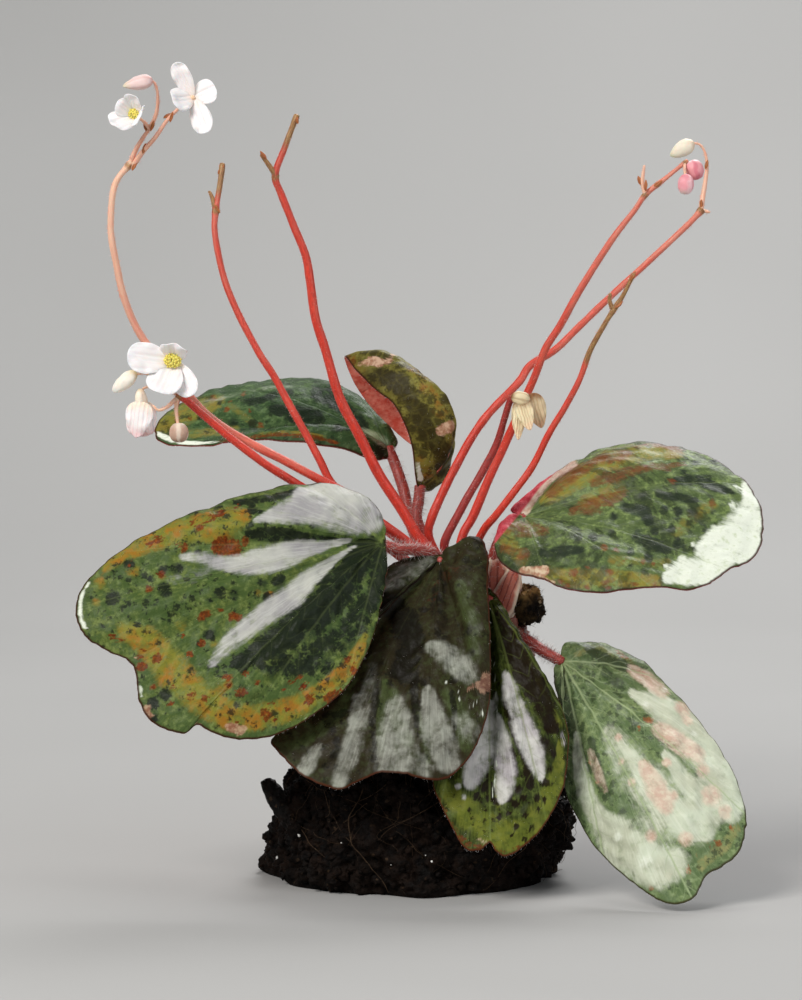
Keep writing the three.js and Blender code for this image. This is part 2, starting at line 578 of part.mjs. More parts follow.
const RHIZOME = {
  path: [
    [20, 34, 2], [21, 44, 0], [20.5, 54, -1.5], [18.5, 62, -1], [14.5, 67.5, 0.5], [10, 70, 5],
    [7.5, 70.3, 11], [6.5, 70, 15],
  ],
  radii: [4.6, 5, 5.8, 6.6, 6.8, 6.4, 5.8, 5],
  stipules: [
    { base: [17.5, 64, -6], axis: [-0.06, 1, -0.1], face: [-0.3, 0, 1], length: 15.5, width: 7 },
    { base: [19.5, 63, -6.6], axis: [0.14, 1, -0.12], face: [0.1, 0, 1], length: 15, width: 6.4 },
    { base: [21.5, 62, -5], axis: [0.26, 1, -0.1], face: [0.6, 0, 1], length: 13.5, width: 6 },
  ],
};
const CLOD = { middle: [26.4, 67, -3.5], axis: [0.2, 1, 0], size: [11, 9.5, 10] };
const CHIP = { middle: [-36, 17.3, -16.5], axis: [0.52, -0.85, -0.12], size: [15.5, 4.8, 3.8] };

/** The creeping stem with its papery stipules, or with an extra thickness the tool that clears it. */
function rhizome(extra = 0) {
  const scales = RHIZOME.stipules.map((scale) =>
    blade(petalSkin({ ...scale, cup: 0.6, pointed: true }), BLADE_THICKNESS + 2 * extra),
  );
  return join([stem(RHIZOME.path, RHIZOME.radii, { sides: 9, step: 6.5, extra }), ...scales]);
}

/**
 * The soil and root mass: a lumpy drum on a flat foot. Its girth swells up to the shoulder's share of the
 * height and then closes as a dome. A skirt of loose soil widens its left side at the foot.
 */
function rootBall() {
  const { radius, height, foot, shoulder, skirt, skirtHeight, sides, rings } = ROOT_BALL;
  const lump = (angle, up) =>
    1.5 * Math.sin(3 * angle + up / 7) +
    1.1 * Math.sin(7 * angle - up / 5) +
    0.8 * Math.sin(11 * angle + up / 3);
  const loops = Array.from({ length: rings + 1 }, (_, ring) => {
    const share = ring / (rings + 1);
    const up = height * share;
    const dome = Math.sqrt(1 - Math.pow(Math.max(0, (share - shoulder) / (1 - shoulder)), 2.2));
    const base = THREE.MathUtils.lerp(foot, radius, Math.min(1, Math.sqrt(share / shoulder)));
    return Array.from({ length: sides }, (_, side) => {
      const angle = (2 * Math.PI * side) / sides;
      const leftward = Math.pow(Math.max(0, -Math.cos(angle)), 2);
      const spread = skirt * leftward * Math.sqrt(Math.max(0, 1 - up / skirtHeight));
      const reach = (base + lump(angle, up)) * dome + spread;
      return new THREE.Vector3(reach * Math.cos(angle), reach * Math.sin(angle), up);
    });
  });
  return loft(loops, new THREE.Vector3(), new THREE.Vector3(0, 0, height));
}

/** A flower, or with an extra thickness the tool that clears it. Its petals grow from its heart. */
function flower({ heart, face, petals, rootShift = [0, 0, 0] }, extra = 0) {
  const base = heart.middle.map((value, i) => value + rootShift[i]);
  const skins = petals.map((petal) => petalSkin({ face, base, ...petal }));
  const grown = skins.map((skin) => blade(skin, PETAL_THICKNESS + 2 * extra));
  return join([pod(heart, extra, 6, 4), ...grown]);
}

/** The yellow stamens: a small cluster of pods in front of a flower's heart. */
function stamens({ heart, face, stamens: size }) {
  const out = toward(face).multiplyScalar(size * 0.75);
  const seat = new THREE.Vector3(...heart.middle);
  const place = (right, up) => [
    seat.x + out.x + right * size * 0.3,
    seat.y + out.z + up * size * 0.3,
    seat.z + out.y - Math.abs(right + up) * 0.05,
  ];
  const heads = [[0, 0], [1, 0.5], [-1, 0.5], [0, -1.1]];
  return join(
    heads.map(([right, up], i) => {
      const girth = size * (i ? 0.55 : 0.9);
      return pod({ middle: place(right, up), axis: face, size: [girth * 1.3, girth, girth] }, 0, 5, 4);
    }),
  );
}

// Assembly
const COLOURS = {
  blade: 0x4c6a3a,
  petiole: 0xb4463c,
  stalk: 0xd8483c,
  petal: 0xfaf4f2,
  stamen: 0xe8d23c,
  bud: 0xecc8c4,
  husk: 0xc8b080,
  soil: 0x2a1c16,
  rhizome: 0x8a4438,
  bark: 0x181210,
};
const plant = new THREE.Group();

/** Adds a solid to the plant as a named mesh whose own origin is its point of attachment. */
function add(name, solid, color, place = [0, 0, 0], roughness = 0.6) {
  const origin = place.some((value) => value) ? at(place) : new THREE.Vector3();
  const { vertProperties, triVerts } = solid.getMesh();
  const geometry = new THREE.BufferGeometry();
  geometry.setAttribute('position', new THREE.BufferAttribute(new Float32Array(vertProperties), 3));
  geometry.setIndex(new THREE.BufferAttribute(new Uint32Array(triVerts), 1));
  geometry.translate(-origin.x, -origin.y, -origin.z);
  geometry.computeVertexNormals();
  const mesh = new THREE.Mesh(geometry, new THREE.MeshStandardMaterial({ color, roughness }));
  mesh.name = name;
  mesh.position.copy(origin);
  plant.add(mesh);
}

const clearOfRhizome = rhizome(FIT);
const carried = {};
const clearOfCarried = {};
for (const [name, bloom] of Object.entries(FLOWERS)) {
  carried[name] = [flower(bloom), COLOURS.petal, bloom.heart.middle];
  clearOfCarried[name] = flower(bloom, FIT);
  if (bloom.stamens) {
    const name_ = name.replace('flower', 'stamens');
    add(name_, cut(stamens(bloom), [clearOfCarried[name]]), COLOURS.stamen, bloom.heart.middle);
  }
}
for (const [name, bud] of Object.entries(BUDS)) {
  carried[name] = [pod(bud), COLOURS.bud, bud.middle];
  clearOfCarried[name] = pod(bud, FIT);
}
carried.dry_capsule = [flower(CAPSULE), COLOURS.husk, CAPSULE.heart.middle];
clearOfCarried.dry_capsule = flower(CAPSULE, FIT);
for (const [name, [solid, colour, place]] of Object.entries(carried)) add(name, solid, colour, place);

for (const [name, leaf] of Object.entries(LEAVES)) {
  const skin = leafSkin(leaf);
  const petiole = stem(leaf.petiole, PETIOLE_RADII);
  const clearOfBlade = blade(leafSkin(leaf, 2 * FIT), BLADE_THICKNESS + 2.6 * FIT);
  add(`${name}_blade`, blade(skin, BLADE_THICKNESS), COLOURS.blade, leaf.joint);
  add(`${name}_petiole`, cut(petiole, [clearOfRhizome, clearOfBlade]), COLOURS.petiole, leaf.petiole[0]);
}

for (const [name, { path, radii, branches, bracts, carries }] of Object.entries(STALKS)) {
  const parts = [
    stem(path, radii),
    ...branches.map((branch) => stem(branch.path, branch.radii, { sides: 5, step: 3 })),
    ...bracts.map((bract) => pod({ ...bract, size: BRACT_SIZE }, 0, 5, 3)),
  ];
  const tools = [clearOfRhizome, ...carries.map((load) => clearOfCarried[load])];
  add(name, cut(join(parts), tools), COLOURS.stalk, path[0]);
}

const clearOfChip = pod(CHIP, FIT, 6, 4);
add('rhizome', rhizome(), COLOURS.rhizome, RHIZOME.path[0]);
add('crown_clod', cut(pod(CLOD, 0, 9, 7), [clearOfRhizome]), COLOURS.soil, CLOD.middle, 1);
add('wood_chip', pod(CHIP, 0, 6, 4), COLOURS.bark, CHIP.middle, 0.9);
add('root_ball', cut(rootBall(), [clearOfRhizome, clearOfChip]), COLOURS.soil, undefined, 1);

export default plant;
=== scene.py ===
"""The looks of a flowering begonia lifted from its pot: leaves, stalks, flowers and root ball."""

import logging
import math
from dataclasses import dataclass
from enum import Enum
from functools import reduce

import bpy
import numpy as np
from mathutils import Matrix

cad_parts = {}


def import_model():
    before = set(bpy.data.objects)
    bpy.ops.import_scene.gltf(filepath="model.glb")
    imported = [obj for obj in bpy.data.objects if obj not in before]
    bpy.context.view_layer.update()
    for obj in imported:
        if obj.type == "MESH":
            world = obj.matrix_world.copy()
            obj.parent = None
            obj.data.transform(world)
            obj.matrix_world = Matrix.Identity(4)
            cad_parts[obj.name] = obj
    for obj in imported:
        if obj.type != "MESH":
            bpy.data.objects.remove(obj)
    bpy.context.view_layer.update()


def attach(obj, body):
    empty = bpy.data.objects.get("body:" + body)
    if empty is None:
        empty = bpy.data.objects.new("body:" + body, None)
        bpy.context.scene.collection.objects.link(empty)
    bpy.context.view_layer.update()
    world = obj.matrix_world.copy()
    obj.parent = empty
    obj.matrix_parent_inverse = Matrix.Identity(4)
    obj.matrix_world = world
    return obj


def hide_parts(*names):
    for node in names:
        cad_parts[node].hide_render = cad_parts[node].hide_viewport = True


LOG = logging.getLogger("begonia")
MM = 0.001

# The drawing board: places are (right, up, back) in millimetres, as an eye in front of the plant sees them.
EYE_DISTANCE = 1000.0
EYE_TILT = math.radians(4)
EYE_RIGHT = -6.0
EYE_UP = 93.75
BOARD_UP = np.array([0.0, math.sin(EYE_TILT), math.cos(EYE_TILT)])
SIGHT = np.array([0.0, math.cos(EYE_TILT), -math.sin(EYE_TILT)])


# Geometry

def on_board(places: object) -> np.ndarray:
    """Points of the part's frame for places on the board, which spread with depth about the eye's axis.

    Args:
        places: Rows of (right, up, back), in millimetres.

    Returns:
        An array of points, in millimetres.
    """
    place = np.atleast_2d(np.asarray(places, float))
    spread = 1 + place[:, 2] / EYE_DISTANCE
    right = EYE_RIGHT + (place[:, 0] - EYE_RIGHT) * spread
    up = EYE_UP + (place[:, 1] - EYE_UP) * spread
    return np.outer(right, [1, 0, 0]) + np.outer(up, BOARD_UP) + np.outer(place[:, 2], SIGHT)


def seen_from_front(points: np.ndarray) -> np.ndarray:
    """The (right, up) at which the eye sees each point: the reverse of on_board, without the depth.

    Args:
        points: Positions in millimetres, on the last axis.

    Returns:
        Places as (..., right and up).
    """
    spread = 1 + points @ SIGHT / EYE_DISTANCE
    right = EYE_RIGHT + (points[..., 0] - EYE_RIGHT) / spread
    up = EYE_UP + (points @ BOARD_UP - EYE_UP) / spread
    return np.stack([right, up], -1)


def direction(way: object) -> np.ndarray:
    """The unit vector of a direction given as (right, up, back) on the board."""
    right, up, back = way
    return unit(right * np.array([1.0, 0, 0]) + up * BOARD_UP + back * SIGHT)


def unit(vectors: np.ndarray) -> np.ndarray:
    """Vectors of length one along the last axis."""
    return vectors / np.maximum(np.linalg.norm(vectors, axis=-1, keepdims=True), 1e-12)


def smoothstep(value: np.ndarray, low: float, high: float) -> np.ndarray:
    """0 up to low, 1 from high on, and the cubic 3t^2 - 2t^3 between them."""
    t = np.clip((value - low) / (high - low), 0, 1)
    return t * t * (3 - 2 * t)


def smooth_line(knots: np.ndarray, samples: np.ndarray, closed: bool = False) -> np.ndarray:
    """A uniform Catmull-Rom curve through the knots, whose tangent at a knot is half the step over it.

    Args:
        knots: Rows of values of any width.
        samples: Where to read the curve, in knots: 0 is the first knot and 1.5 lies between two.
        closed: Whether the last knot joins the first. An open curve runs on straight at its ends.

    Returns:
        One row for each sample.
    """
    knots = np.asarray(knots, float)
    count = len(knots)
    span = np.floor(samples).astype(int)
    if not closed:
        span = np.clip(span, 0, count - 2)
        knots = np.vstack([2 * knots[0] - knots[1], knots, 2 * knots[-1] - knots[-2]])
        near = [knots[span + i] for i in range(4)]
    else:
        near = [knots[(span + i - 1) % count] for i in range(4)]
    t = (samples - span)[:, None]
    start, end = (near[2] - near[0]) / 2, (near[3] - near[1]) / 2
    return (
        near[1] * (2 * t**3 - 3 * t**2 + 1)
        + start * (t**3 - 2 * t**2 + t)
        + near[2] * (3 * t**2 - 2 * t**3)
        + end * (t**3 - t**2)
    )


def even_line(knots: object, step: float) -> np.ndarray:
    """Points along the smooth open curve through board places, a step apart, in millimetres.

    Args:
        knots: Board places.
        step: About how far apart the points are.

    Returns:
        The points.
    """
    knots = on_board(knots)
    dense = smooth_line(knots, np.linspace(0, len(knots) - 1, 40 * len(knots)))
    run = np.concatenate([[0], np.cumsum(np.linalg.norm(np.diff(dense, axis=0), axis=1))])
    count = max(4, int(run[-1] / step) + 1)
    share = np.linspace(0, run[-1], count)
    return np.stack([np.interp(share, run, dense[:, axis]) for axis in range(3)], -1)


def ripple(points: np.ndarray, wavelength: float, seed: int, waves: int = 18) -> np.ndarray:
    """A smooth random height at points: a sum of plane waves of like wavelength in random directions.

    Args:
        points: Positions in millimetres, on the last axis.
        wavelength: The mean distance between crests, in millimetres.
        seed: Chooses the waves.
        waves: How many are added.

    Returns:
        Heights of about unit spread.
    """
    rng = np.random.default_rng(seed)
    ways = unit(rng.normal(size=(waves, 3))) * rng.uniform(0.7, 1.5, (waves, 1)) * 2 * np.pi / wavelength
    phase = rng.uniform(0, 2 * np.pi, waves)
    return np.sin(points @ ways.T + phase).sum(-1) * math.sqrt(2 / waves)


def tube(line: np.ndarray, radii: np.ndarray, sides: int = 10) -> tuple[np.ndarray, np.ndarray, np.ndarray]:
    """A round skin along a line: circles square to it, in the frame of the line of sight.

    Args:
        line: Points along the axis, in millimetres.
        radii: The radius at each point.
        sides: Points in each circle.

    Returns:
        The rings, and the poles that close the two ends half a radius beyond them.
    """
    ahead = unit(np.gradient(line, axis=0))
    across = unit(np.cross(ahead, SIGHT + [0.013, 0.007, 0.0]))
    through = np.cross(ahead, across)
    angle = np.arange(sides) * 2 * np.pi / sides
    circle = np.cos(angle)[:, None] * across[:, None] + np.sin(angle)[:, None] * through[:, None]
    rings = line[:, None] + radii[:, None, None] * circle
    return rings, line[0] - 0.5 * radii[0] * ahead[0], line[-1] + 0.5 * radii[-1] * ahead[-1]


def egg(middle: object, axis: object, face: object, size: object, rings: int, sides: int,
        blunt: float = 1.0, lean: float = 1.0) -> tuple[np.ndarray, np.ndarray, np.ndarray]:
    """An egg-shaped skin round its long axis.

    Args:
        middle: Its middle as a board place.
        axis: The direction of its length.
        face: The direction of its depth.
        size: Length, width and depth in millimetres.
        rings: Rings from end to end.
        sides: Points in each ring.
        blunt: Above 1 the girth is fuller near the ends, below 1 it is more pointed.
        lean: Above 1 it is fullest nearer its far end, and its near end is pointed.

    Returns:
        The rings, and the poles at the two ends.
    """
    along = direction(axis)
    across = unit(np.cross(direction(face), along))
    through = np.cross(along, across)
    turn = np.pi * np.arange(1, rings) / rings
    angle = np.arange(sides) * 2 * np.pi / sides
    girth = np.sin(np.pi * (turn / np.pi) ** lean) ** (1 / blunt) / 2
    heart = on_board(middle)[0]
    spine = heart - along * (size[0] * np.cos(turn) / 2)[:, None]
    loop = np.cos(angle)[:, None] * across * size[1] + np.sin(angle)[:, None] * through * size[2]
    skin = spine[:, None] + girth[:, None, None] * loop
    return skin, heart - along * size[0] / 2, heart + along * size[0] / 2


def surface_normals(rings: np.ndarray) -> np.ndarray:
    """Unit normals of rings, from the steps along and round: they point out of anticlockwise rings."""
    round_step = np.roll(rings, -1, 1) - np.roll(rings, 1, 1)
    return unit(np.cross(round_step, np.gradient(rings, axis=0)))


class Shells:
    """Closed shells of rings and loose small solids, gathered into one mesh with values on its points."""

    def __init__(self) -> None:
        """Starts with nothing gathered."""
        self.points: list[np.ndarray] = []
        self.faces: list[np.ndarray] = []
        self.values: dict[str, list[np.ndarray]] = {}
        self.count = 0

    def _gather(self, points: np.ndarray, faces: list[np.ndarray], values: dict[str, np.ndarray]) -> None:
        """Adds points, faces that index them, and a value or colour for each point by name.

        Args:
            points: Positions in millimetres.
            faces: Arrays of faces, each of one number of corners.
            values: By name a value or colour for each point.
        """
        self.points.append(points)
        self.faces += [face + self.count for face in faces]
        for name, value in values.items():
            known = self.values.setdefault(name, [np.zeros((self.count,) + value.shape[1:])])
            missing = self.count - sum(len(block) for block in known)
            known += [np.zeros((missing,) + value.shape[1:]), value]
        self.count += len(points)

    def add(self, rings: np.ndarray, first: np.ndarray, last: np.ndarray, **values: object) -> None:
        """Adds one shell: a band of quads between each ring and the next, and a fan at each pole.

        Args:
            rings: Points as (ring, side, 3), in millimetres.
            first: The pole before the first ring.
            last: The pole after the last ring.
            **values: By name a value or an array that spreads over (ring, side), or one colour for each.
        """
        count, sides = rings.shape[:2]
        points = np.concatenate([first[None], rings.reshape(-1, 3), last[None]])
        side = np.arange(sides)
        after = (side + 1) % sides
        base = 1 + np.arange(count - 1)[:, None] * sides
        quads = np.stack([base + side, base + after, base + sides + after, base + sides + side], -1)
        end = len(points) - 1
        top = 1 + (count - 1) * sides
        fans = np.concatenate([
            np.stack([np.zeros(sides, int), 1 + after, 1 + side], -1),
            np.stack([np.full(sides, end), top + side, top + after], -1),
        ])
        quads = quads.reshape(-1, 4)
        corner = points[quads]
        out = np.einsum("fi,fi->f", corner[:, 0] - points.mean(0), np.cross(
            corner[:, 2] - corner[:, 0], corner[:, 3] - corner[:, 1]))
        if out.sum() < 0:
            quads, fans = quads[:, ::-1], fans[:, ::-1]
        self._gather(points, [quads, fans], {
            name: self._spread(value, count, sides) for name, value in values.items()
        })

    @staticmethod
    def _spread(value: object, count: int, sides: int) -> np.ndarray:
        """A value as one row for each point of a shell. The poles take the mean of their ring.

        Args:
            value: A value or an array over the shell.
            count: The number of rings.
            sides: The points in a ring.

        Returns:
            One row for each point.
        """
        value = np.asarray(value, float)
        if value.ndim < 3:
            value = np.broadcast_to(value, (count, sides))
        flat = value.reshape((-1,) + value.shape[2:])
        return np.concatenate([flat[:sides].mean(0)[None], flat, flat[-sides:].mean(0)[None]])

    def scatter(self, bodies: np.ndarray, corners: np.ndarray, **values: np.ndarray) -> None:
        """Adds many small solids of one build.

        Args:
            bodies: Their points as (solid, point, 3), in millimetres.
            corners: Triangles as indices into one solid's points.
            **values: One value for each solid, by name.
        """
        solids, size = bodies.shape[:2]
        faces = (np.arange(solids)[:, None, None] * size + corners).reshape(-1, 3)
        self._gather(bodies.reshape(-1, 3), [faces], {
            name: np.repeat(np.asarray(value, float), size, 0) for name, value in values.items()
        })

    def hairs(self, roots: np.ndarray, ways: np.ndarray, lengths: np.ndarray, girth: float) -> None:
        """Adds hairs: three-sided needles that bend a little towards the ground at half their length.

        Args:
            roots: Where they stand, in millimetres.
            ways: The unit direction of each.
            lengths: The length of each.
            girth: The radius at the root.
        """
        across = unit(np.cross(ways, [0.31, 0.52, 0.79]))
        through = np.cross(ways, across)
        angle = np.arange(3) * 2 * np.pi / 3
        circle = np.cos(angle)[:, None] * across[:, None] + np.sin(angle)[:, None] * through[:, None]
        middle = roots + ways * (lengths * 0.55)[:, None]
        bend = np.random.default_rng(len(roots)).normal(size=roots.shape) * 0.14 - [0, 0, 0.1]
        tips = middle + unit(ways + bend) * (lengths * 0.45)[:, None]
        bodies = np.concatenate([
            (roots - ways * 0.1)[:, None] + circle * girth,
            middle[:, None] + circle * girth * 0.6,
            tips[:, None],
        ], 1)
        corners = np.array([
            [2, 1, 0], [0, 1, 4], [0, 4, 3], [1, 2, 5], [1, 5, 4], [2, 0, 3], [2, 3, 5],
            [3, 4, 6], [4, 5, 6], [5, 3, 6],
        ])
        self.scatter(bodies, corners)

    def build(self, name: str, material: bpy.types.Material, slot: str, *nodes: str) -> None:
        """Makes the gathered mesh an object that rides on the plant.

        Args:
            name: The piece's name.
            material: Its finish.
            slot: The record's material slot; not used.
            *nodes: The frame's nodes that it stands for.
        """
        mesh = bpy.data.meshes.new(name)
        points = np.concatenate(self.points) * MM
        sizes = np.concatenate([np.full(len(face), face.shape[1]) for face in self.faces])
        corners = np.concatenate([face.ravel() for face in self.faces])
        mesh.vertices.add(len(points))
        mesh.vertices.foreach_set("co", points.astype(np.float32).ravel())
        mesh.loops.add(len(corners))
        mesh.loops.foreach_set("vertex_index", corners.astype(np.int32))
        mesh.polygons.add(len(sizes))
        starts = np.concatenate([[0], np.cumsum(sizes)[:-1]])
        mesh.polygons.foreach_set("loop_start", starts.astype(np.int32))
        mesh.polygons.foreach_set("use_smooth", np.ones(len(sizes), bool))
        mesh.update(calc_edges=True)
        for key, blocks in self.values.items():
            value = np.concatenate(blocks)
            value = np.concatenate([value, np.zeros((self.count - len(value),) + value.shape[1:])])
            kind, part = ("FLOAT", "value") if value.ndim == 1 else ("FLOAT_COLOR", "color")
            layer = mesh.attributes.new(key, kind, "POINT")
            layer.data.foreach_set(part, value.astype(np.float32).ravel())
        mesh.materials.append(material)
        piece = bpy.data.objects.new(name, mesh)
        bpy.context.scene.collection.objects.link(piece)
        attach(piece, "root")
        if nodes:
            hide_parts(*nodes)
        LOG.info("%s: %d points, %d faces", name, len(points), len(sizes))


def lump(rough: float, count: int, seed: int) -> tuple[np.ndarray, np.ndarray]:
    """Many small angular lumps of unit radius: turned icosahedra whose points are moved in and out.

    Args:
        rough: How far a point moves, as a share of the radius.
        count: How many lumps.
        seed: Chooses them.

    Returns:
        The points as (lump, 12, 3), and the 20 triangles of one lump.
    """
    rng = np.random.default_rng(seed)
    gold = (1 + math.sqrt(5)) / 2
    base = unit(np.array([
        [-1, gold, 0], [1, gold, 0], [-1, -gold, 0], [1, -gold, 0], [0, -1, gold], [0, 1, gold],
        [0, -1, -gold], [0, 1, -gold], [gold, 0, -1], [gold, 0, 1], [-gold, 0, -1], [-gold, 0, 1],
    ]))
    corners = np.array([
        [0, 11, 5], [0, 5, 1], [0, 1, 7], [0, 7, 10], [0, 10, 11], [1, 5, 9], [5, 11, 4], [11, 10, 2],
        [10, 7, 6], [7, 1, 8], [3, 9, 4], [3, 4, 2], [3, 2, 6], [3, 6, 8], [3, 8, 9], [4, 9, 5],
        [2, 4, 11], [6, 2, 10], [8, 6, 7], [9, 8, 1],
    ])
    reach = 1 + rough * rng.uniform(-1, 1, (count, 12, 1))
    squash = rng.uniform(0.6, 1.2, (count, 1, 3))
    first = unit(rng.normal(size=(count, 3)))
    second = unit(np.cross(first, rng.normal(size=(count, 3))))
    turn = np.stack([first, second, np.cross(first, second)], 1)
    return np.einsum("cpi,cij->cpj", base * reach * squash, turn), corners


# Shader building

def paint(code: str) -> tuple[float, float, float, float]:
    """A colour written as six hexadecimal digits, as linear light.

    Args:
        code: The six digits.

    Returns:
        Red, green, blue and 1.
    """
    parts = [int(code[i:i + 2], 16) / 255 for i in (0, 2, 4)]
    linear = [c / 12.92 if c <= 0.04045 else ((c + 0.055) / 1.055) ** 2.4 for c in parts]
    return (*linear, 1.0)


class Graph:
    """A node tree with short calls that add nodes and join them. A string stands for a colour's code."""

    def __init__(self, tree: bpy.types.NodeTree) -> None:
        """Takes the tree that is built up."""
        self.tree = tree

    def feed(self, socket: bpy.types.NodeSocket, value: object) -> None:
        """Links a socket from another, or sets it to a constant.

        Args:
            socket: The input.
            value: A socket, a constant or a colour's code.
        """
        if isinstance(value, bpy.types.NodeSocket):
            self.tree.links.new(value, socket)
        else:
            socket.default_value = paint(value) if isinstance(value, str) else value

    def add(self, kind: str, inputs: dict[object, object] | None = None, **props: object) -> bpy.types.Node:
        """Adds a node, sets its properties, and feeds its inputs by name or number.

        Args:
            kind: The node's type, without ShaderNode.
            inputs: What feeds each input.
            **props: The node's properties.

        Returns:
            The node.
        """
        node = self.tree.nodes.new(f"ShaderNode{kind}" if not kind.startswith("Node") else kind)
        for key, value in props.items():
            setattr(node, key, value)
        for key, value in (inputs or {}).items():
            self.feed(node.inputs[key], value)
        return node

    def math(self, operation: str, *values: object, clamp: bool = False) -> bpy.types.NodeSocket:
        """One arithmetic step."""
        return self.add("Math", dict(enumerate(values)), operation=operation, use_clamp=clamp).outputs[0]

    def plus(self, *values: object) -> bpy.types.NodeSocket:
        """Values added one after another."""
        return reduce(lambda total, value: self.math("ADD", total, value), values)

    def times(self, value: object, factor: object) -> bpy.types.NodeSocket:
        """One value times another."""
        return self.math("MULTIPLY", value, factor)

    def swing(self, value: object, width: float) -> bpy.types.NodeSocket:
        """A value from 0 to 1 made to swing by a width, evenly about zero."""
        return self.math("MULTIPLY_ADD", value, width, -width / 2)

    def vector(self, operation: str, first: object, other: object) -> bpy.types.NodeSocket:
        """One step with vectors: SCALE takes a number, and the others take a second vector."""
        inputs = {0: first, 3 if operation == "SCALE" else 1: other}
        return self.add("VectorMath", inputs, operation=operation).outputs[0]

    def join(self, *parts: object) -> bpy.types.NodeSocket:
        """A vector of three values."""
        return self.add("CombineXYZ", dict(enumerate(parts))).outputs[0]

    def split(self, colour: object) -> bpy.types.NodeOutputs:
        """The three channels of a colour."""
        return self.add("SeparateColor", {0: colour}).outputs

    def mix(self, factor: object, a: object, b: object) -> bpy.types.NodeSocket:
        """A mixed colour."""
        return self.add("Mix", {0: factor, 6: a, 7: b}, data_type="RGBA").outputs[2]

    def step(self, value: object, low: float, high: float,
             out: tuple[float, float] = (0.0, 1.0)) -> bpy.types.NodeSocket:
        """A soft step of a value from low to high."""
        inputs = {0: value, 1: low, 2: high, 3: out[0], 4: out[1]}
        return self.add("MapRange", inputs, interpolation_type="SMOOTHSTEP").outputs[0]

    def shade(self, value: object, low: float, high: float, a: object, b: object,
              most: float = 1.0) -> bpy.types.NodeSocket:
        """A colour that turns softly from a to b, by a share at most, as the value goes from low to high."""
        return self.mix(self.step(value, low, high, (0.0, most)), a, b)

    def layers(self, base: object, *layers: tuple[object, object]) -> bpy.types.NodeSocket:
        """A base with colours laid over it one by one, each as (cover, colour).

        Args:
            base: The lowest colour.
            *layers: The others, from the bottom up.

        Returns:
            The colour on top.
        """
        for cover, colour in layers:
            base = self.mix(cover, base, colour)
        return base

    def noise(self, vector: object, scale: float, detail: float = 2.0, rough: float = 0.5,
              output: int = 0) -> bpy.types.NodeSocket:
        """Fractal noise: output 0 is a value and 1 a colour."""
        inputs = {"Vector": vector, "Scale": scale, "Detail": detail, "Roughness": rough}
        return self.add("TexNoise", inputs).outputs[output]

    def cells(self, vector: object, scale: object, feature: str = "F1") -> bpy.types.NodeOutputs:
        """Voronoi cells: output 0 is the distance and 1 the cell's own colour."""
        return self.add("TexVoronoi", {"Vector": vector, "Scale": scale}, feature=feature).outputs

    def here(self) -> bpy.types.NodeSocket:
        """The place on the piece, in its own coordinates."""
        return self.add("TexCoord").outputs["Object"]

    def read(self, name: str) -> bpy.types.NodeSocket:
        """A value that the mesh carries."""
        return self.add("Attribute", attribute_name=name).outputs["Fac"]

    def marks(self, name: str) -> list[bpy.types.NodeSocket]:
        """The four channels of a colour that the mesh carries."""
        outputs = self.add("Attribute", attribute_name=name).outputs
        return [*self.split(outputs["Color"])[:3], outputs["Alpha"]]

    def use(self, group: bpy.types.NodeTree, **inputs: object) -> bpy.types.NodeOutputs:
        """Places a group with its own values and returns its outputs."""
        return self.add("Group", inputs, node_tree=group).outputs

    def coat(self, shader: bpy.types.Node, colour: object, rough: tuple, bump: tuple,
             **fixed: object) -> None:
        """Gives a shader what changes over the surface, and sets what is the same all over.

        Args:
            shader: The Principled shader.
            colour: Its colour.
            rough: A value, and the roughness at its low and its high end.
            bump: A height, its strength, and what a height of 1 is in metres.
            **fixed: Constants by the socket's name, with _ for a blank.
        """
        self.feed(shader.inputs["Base Color"], colour)
        self.feed(shader.inputs["Roughness"], self.step(rough[0], 0.2, 0.8, rough[1:]))
        raised = dict(zip(("Height", "Strength", "Distance"), bump))
        self.feed(shader.inputs["Normal"], self.add("Bump", raised).outputs[0])
        for name, value in fixed.items():
            shader.inputs[name.replace("_", " ")].default_value = value


def shader_group(name: str, inputs: dict[str, object], *outputs: str) -> tuple:
    """Starts a node group.

    Args:
        name: Its name.
        inputs: For each input its first value: a number, or three numbers for a vector.
        *outputs: The names of its outputs, which are values.

    Returns:
        The group, its graph, its input sockets by name and the input sockets of its output node.
    """
    tree = bpy.data.node_groups.new(name, "ShaderNodeTree")
    for key, value in inputs.items():
        kind = "NodeSocketVector" if isinstance(value, tuple) else "NodeSocketFloat"
        tree.interface.new_socket(name=key, in_out="INPUT", socket_type=kind).default_value = value
    for key in outputs:
        tree.interface.new_socket(name=key, in_out="OUTPUT", socket_type="NodeSocketFloat")
    graph = Graph(tree)
    return tree, graph, graph.add("NodeGroupInput").outputs, graph.add("NodeGroupOutput").inputs


def material(name: str) -> tuple[bpy.types.Material, Graph, bpy.types.Node]:
    """A new material, its graph, and its Principled shader, joined to the output.

    Args:
        name: The material's name.

    Returns:
        The material, its graph and its shader.
    """
    made = bpy.data.materials.new(name)
    made.use_nodes = True
    made.node_tree.nodes.clear()
    graph = Graph(made.node_tree)
    shader = graph.add("BsdfPrincipled")
    graph.add("OutputMaterial", {0: shader.outputs[0]})
    return made, graph, shader


